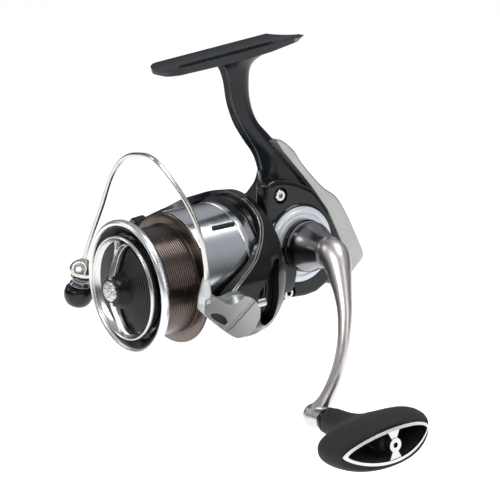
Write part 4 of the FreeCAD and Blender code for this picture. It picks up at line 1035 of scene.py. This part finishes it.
def direction(azimuth, elevation):
    """The way from the reel to an azimuth, 0 being its front, and an elevation, in degrees."""
    a, e = math.radians(azimuth), math.radians(elevation)
    return Vector((math.sin(a) * math.cos(e), -math.cos(a) * math.cos(e), math.sin(e)))


def camera():
    """The photograph's viewing angle: from the front right, a little above, with a long lens."""
    azimuth, elevation = 54.02, 14.39
    turn, roll = math.radians(azimuth), math.radians(-2.79)
    aim = Vector((0.01219, -0.00355, -0.07584))
    distance = 0.87
    back = direction(azimuth, elevation)
    right = Vector((math.cos(turn), math.sin(turn), 0))
    up = back.cross(right)
    turned_right = right * math.cos(roll) + up * math.sin(roll)
    turned_up = up * math.cos(roll) - right * math.sin(roll)
    lens = bpy.data.cameras.new("camera")
    lens.sensor_width = 36
    lens.lens = 165.6
    lens.clip_end = 20
    view = bpy.data.objects.new("camera", lens)
    rows = Matrix((turned_right, turned_up, back)).transposed().to_4x4()
    view.matrix_world = Matrix.Translation(aim + back * distance) @ rows
    bpy.context.scene.collection.objects.link(view)
    bpy.context.scene.camera = view


def softbox(name, azimuth, elevation, distance, width, height, power):
    """An area light on a sphere round the reel, aimed at its middle."""
    middle = Vector((0.01, 0, -0.075))
    back = direction(azimuth, elevation)
    lamp = bpy.data.lights.new(name, "AREA")
    lamp.shape = "RECTANGLE"
    lamp.size = width
    lamp.size_y = height
    lamp.energy = power
    thing = bpy.data.objects.new(name, lamp)
    aimed = back.to_track_quat("Z", "Y").to_matrix().to_4x4()
    thing.matrix_world = Matrix.Translation(middle + back * distance) @ aimed
    thing.visible_camera = False
    bpy.context.scene.collection.objects.link(thing)


def world():
    """Pale studio: bright above, dark along the horizon, so polished metal has something to mirror."""
    sky = bpy.data.worlds.new("studio")
    bpy.context.scene.world = sky
    sky.use_nodes = True
    tree = sky.node_tree
    tree.nodes.clear()
    out = tree.nodes.new("ShaderNodeOutputWorld")
    mix = tree.nodes.new("ShaderNodeMixShader")
    seen = tree.nodes.new("ShaderNodeBackground")
    seen.inputs["Color"].default_value = (1, 1, 1, 1)
    lit = tree.nodes.new("ShaderNodeBackground")
    ramp = tree.nodes.new("ShaderNodeValToRGB")
    split = tree.nodes.new("ShaderNodeSeparateXYZ")
    source = tree.nodes.new("ShaderNodeTexCoord")
    rays = tree.nodes.new("ShaderNodeLightPath")
    ramp.color_ramp.elements[0].position = 0.10
    ramp.color_ramp.elements[0].color = (0.06, 0.06, 0.063, 1)
    ramp.color_ramp.elements[1].position = 0.55
    ramp.color_ramp.elements[1].color = (0.42, 0.43, 0.45, 1)
    tree.links.new(source.outputs["Generated"], split.inputs[0])
    tree.links.new(split.outputs["Z"], ramp.inputs["Fac"])
    tree.links.new(ramp.outputs["Color"], lit.inputs["Color"])
    tree.links.new(rays.outputs["Is Camera Ray"], mix.inputs["Fac"])
    tree.links.new(lit.outputs[0], mix.inputs[1])
    tree.links.new(seen.outputs[0], mix.inputs[2])
    tree.links.new(mix.outputs[0], out.inputs[0])


def floor():
    """A pale round floor, well below the reel."""
    reach, sides, drop = 6000, 96, 0.12
    points = [(x, y, 0) for x, y in ring(reach, sides)]
    place = Matrix.Translation((0, 0, CAD_BOX[0][2] - drop)) @ Matrix.Scale(MM, 4)
    disc = solid(points, [tuple(range(sides))], place)
    disc.name = "floor"
    made = Recipe("floor", (0.95, 0.95, 0.95), 0.0, 0.8, Emission_Color=(1, 1, 1, 1), Emission_Strength=0.58)
    made.vary_roughness(made.noise(0.01), 0.75, 0.85)
    disc.data.materials.append(made.material)


paint_frame()
spool()
drag_knob()
rotor()
bail_lever()
bail_wire()
roller_end()
case()
side_cover()
engine_plate()
rear_protector()
left_cap()
handle()
knob()

floor()
world()
camera()
softbox("key", 20, 42, 1.3, 0.7, 0.4, 7)
softbox("top", 150, 68, 1.2, 0.7, 0.5, 5)
softbox("right", 105, 22, 1.5, 0.3, 1.0, 3)
softbox("left", -50, 30, 1.4, 0.3, 0.9, 2.5)
bpy.context.scene.view_settings.view_transform = "Standard"
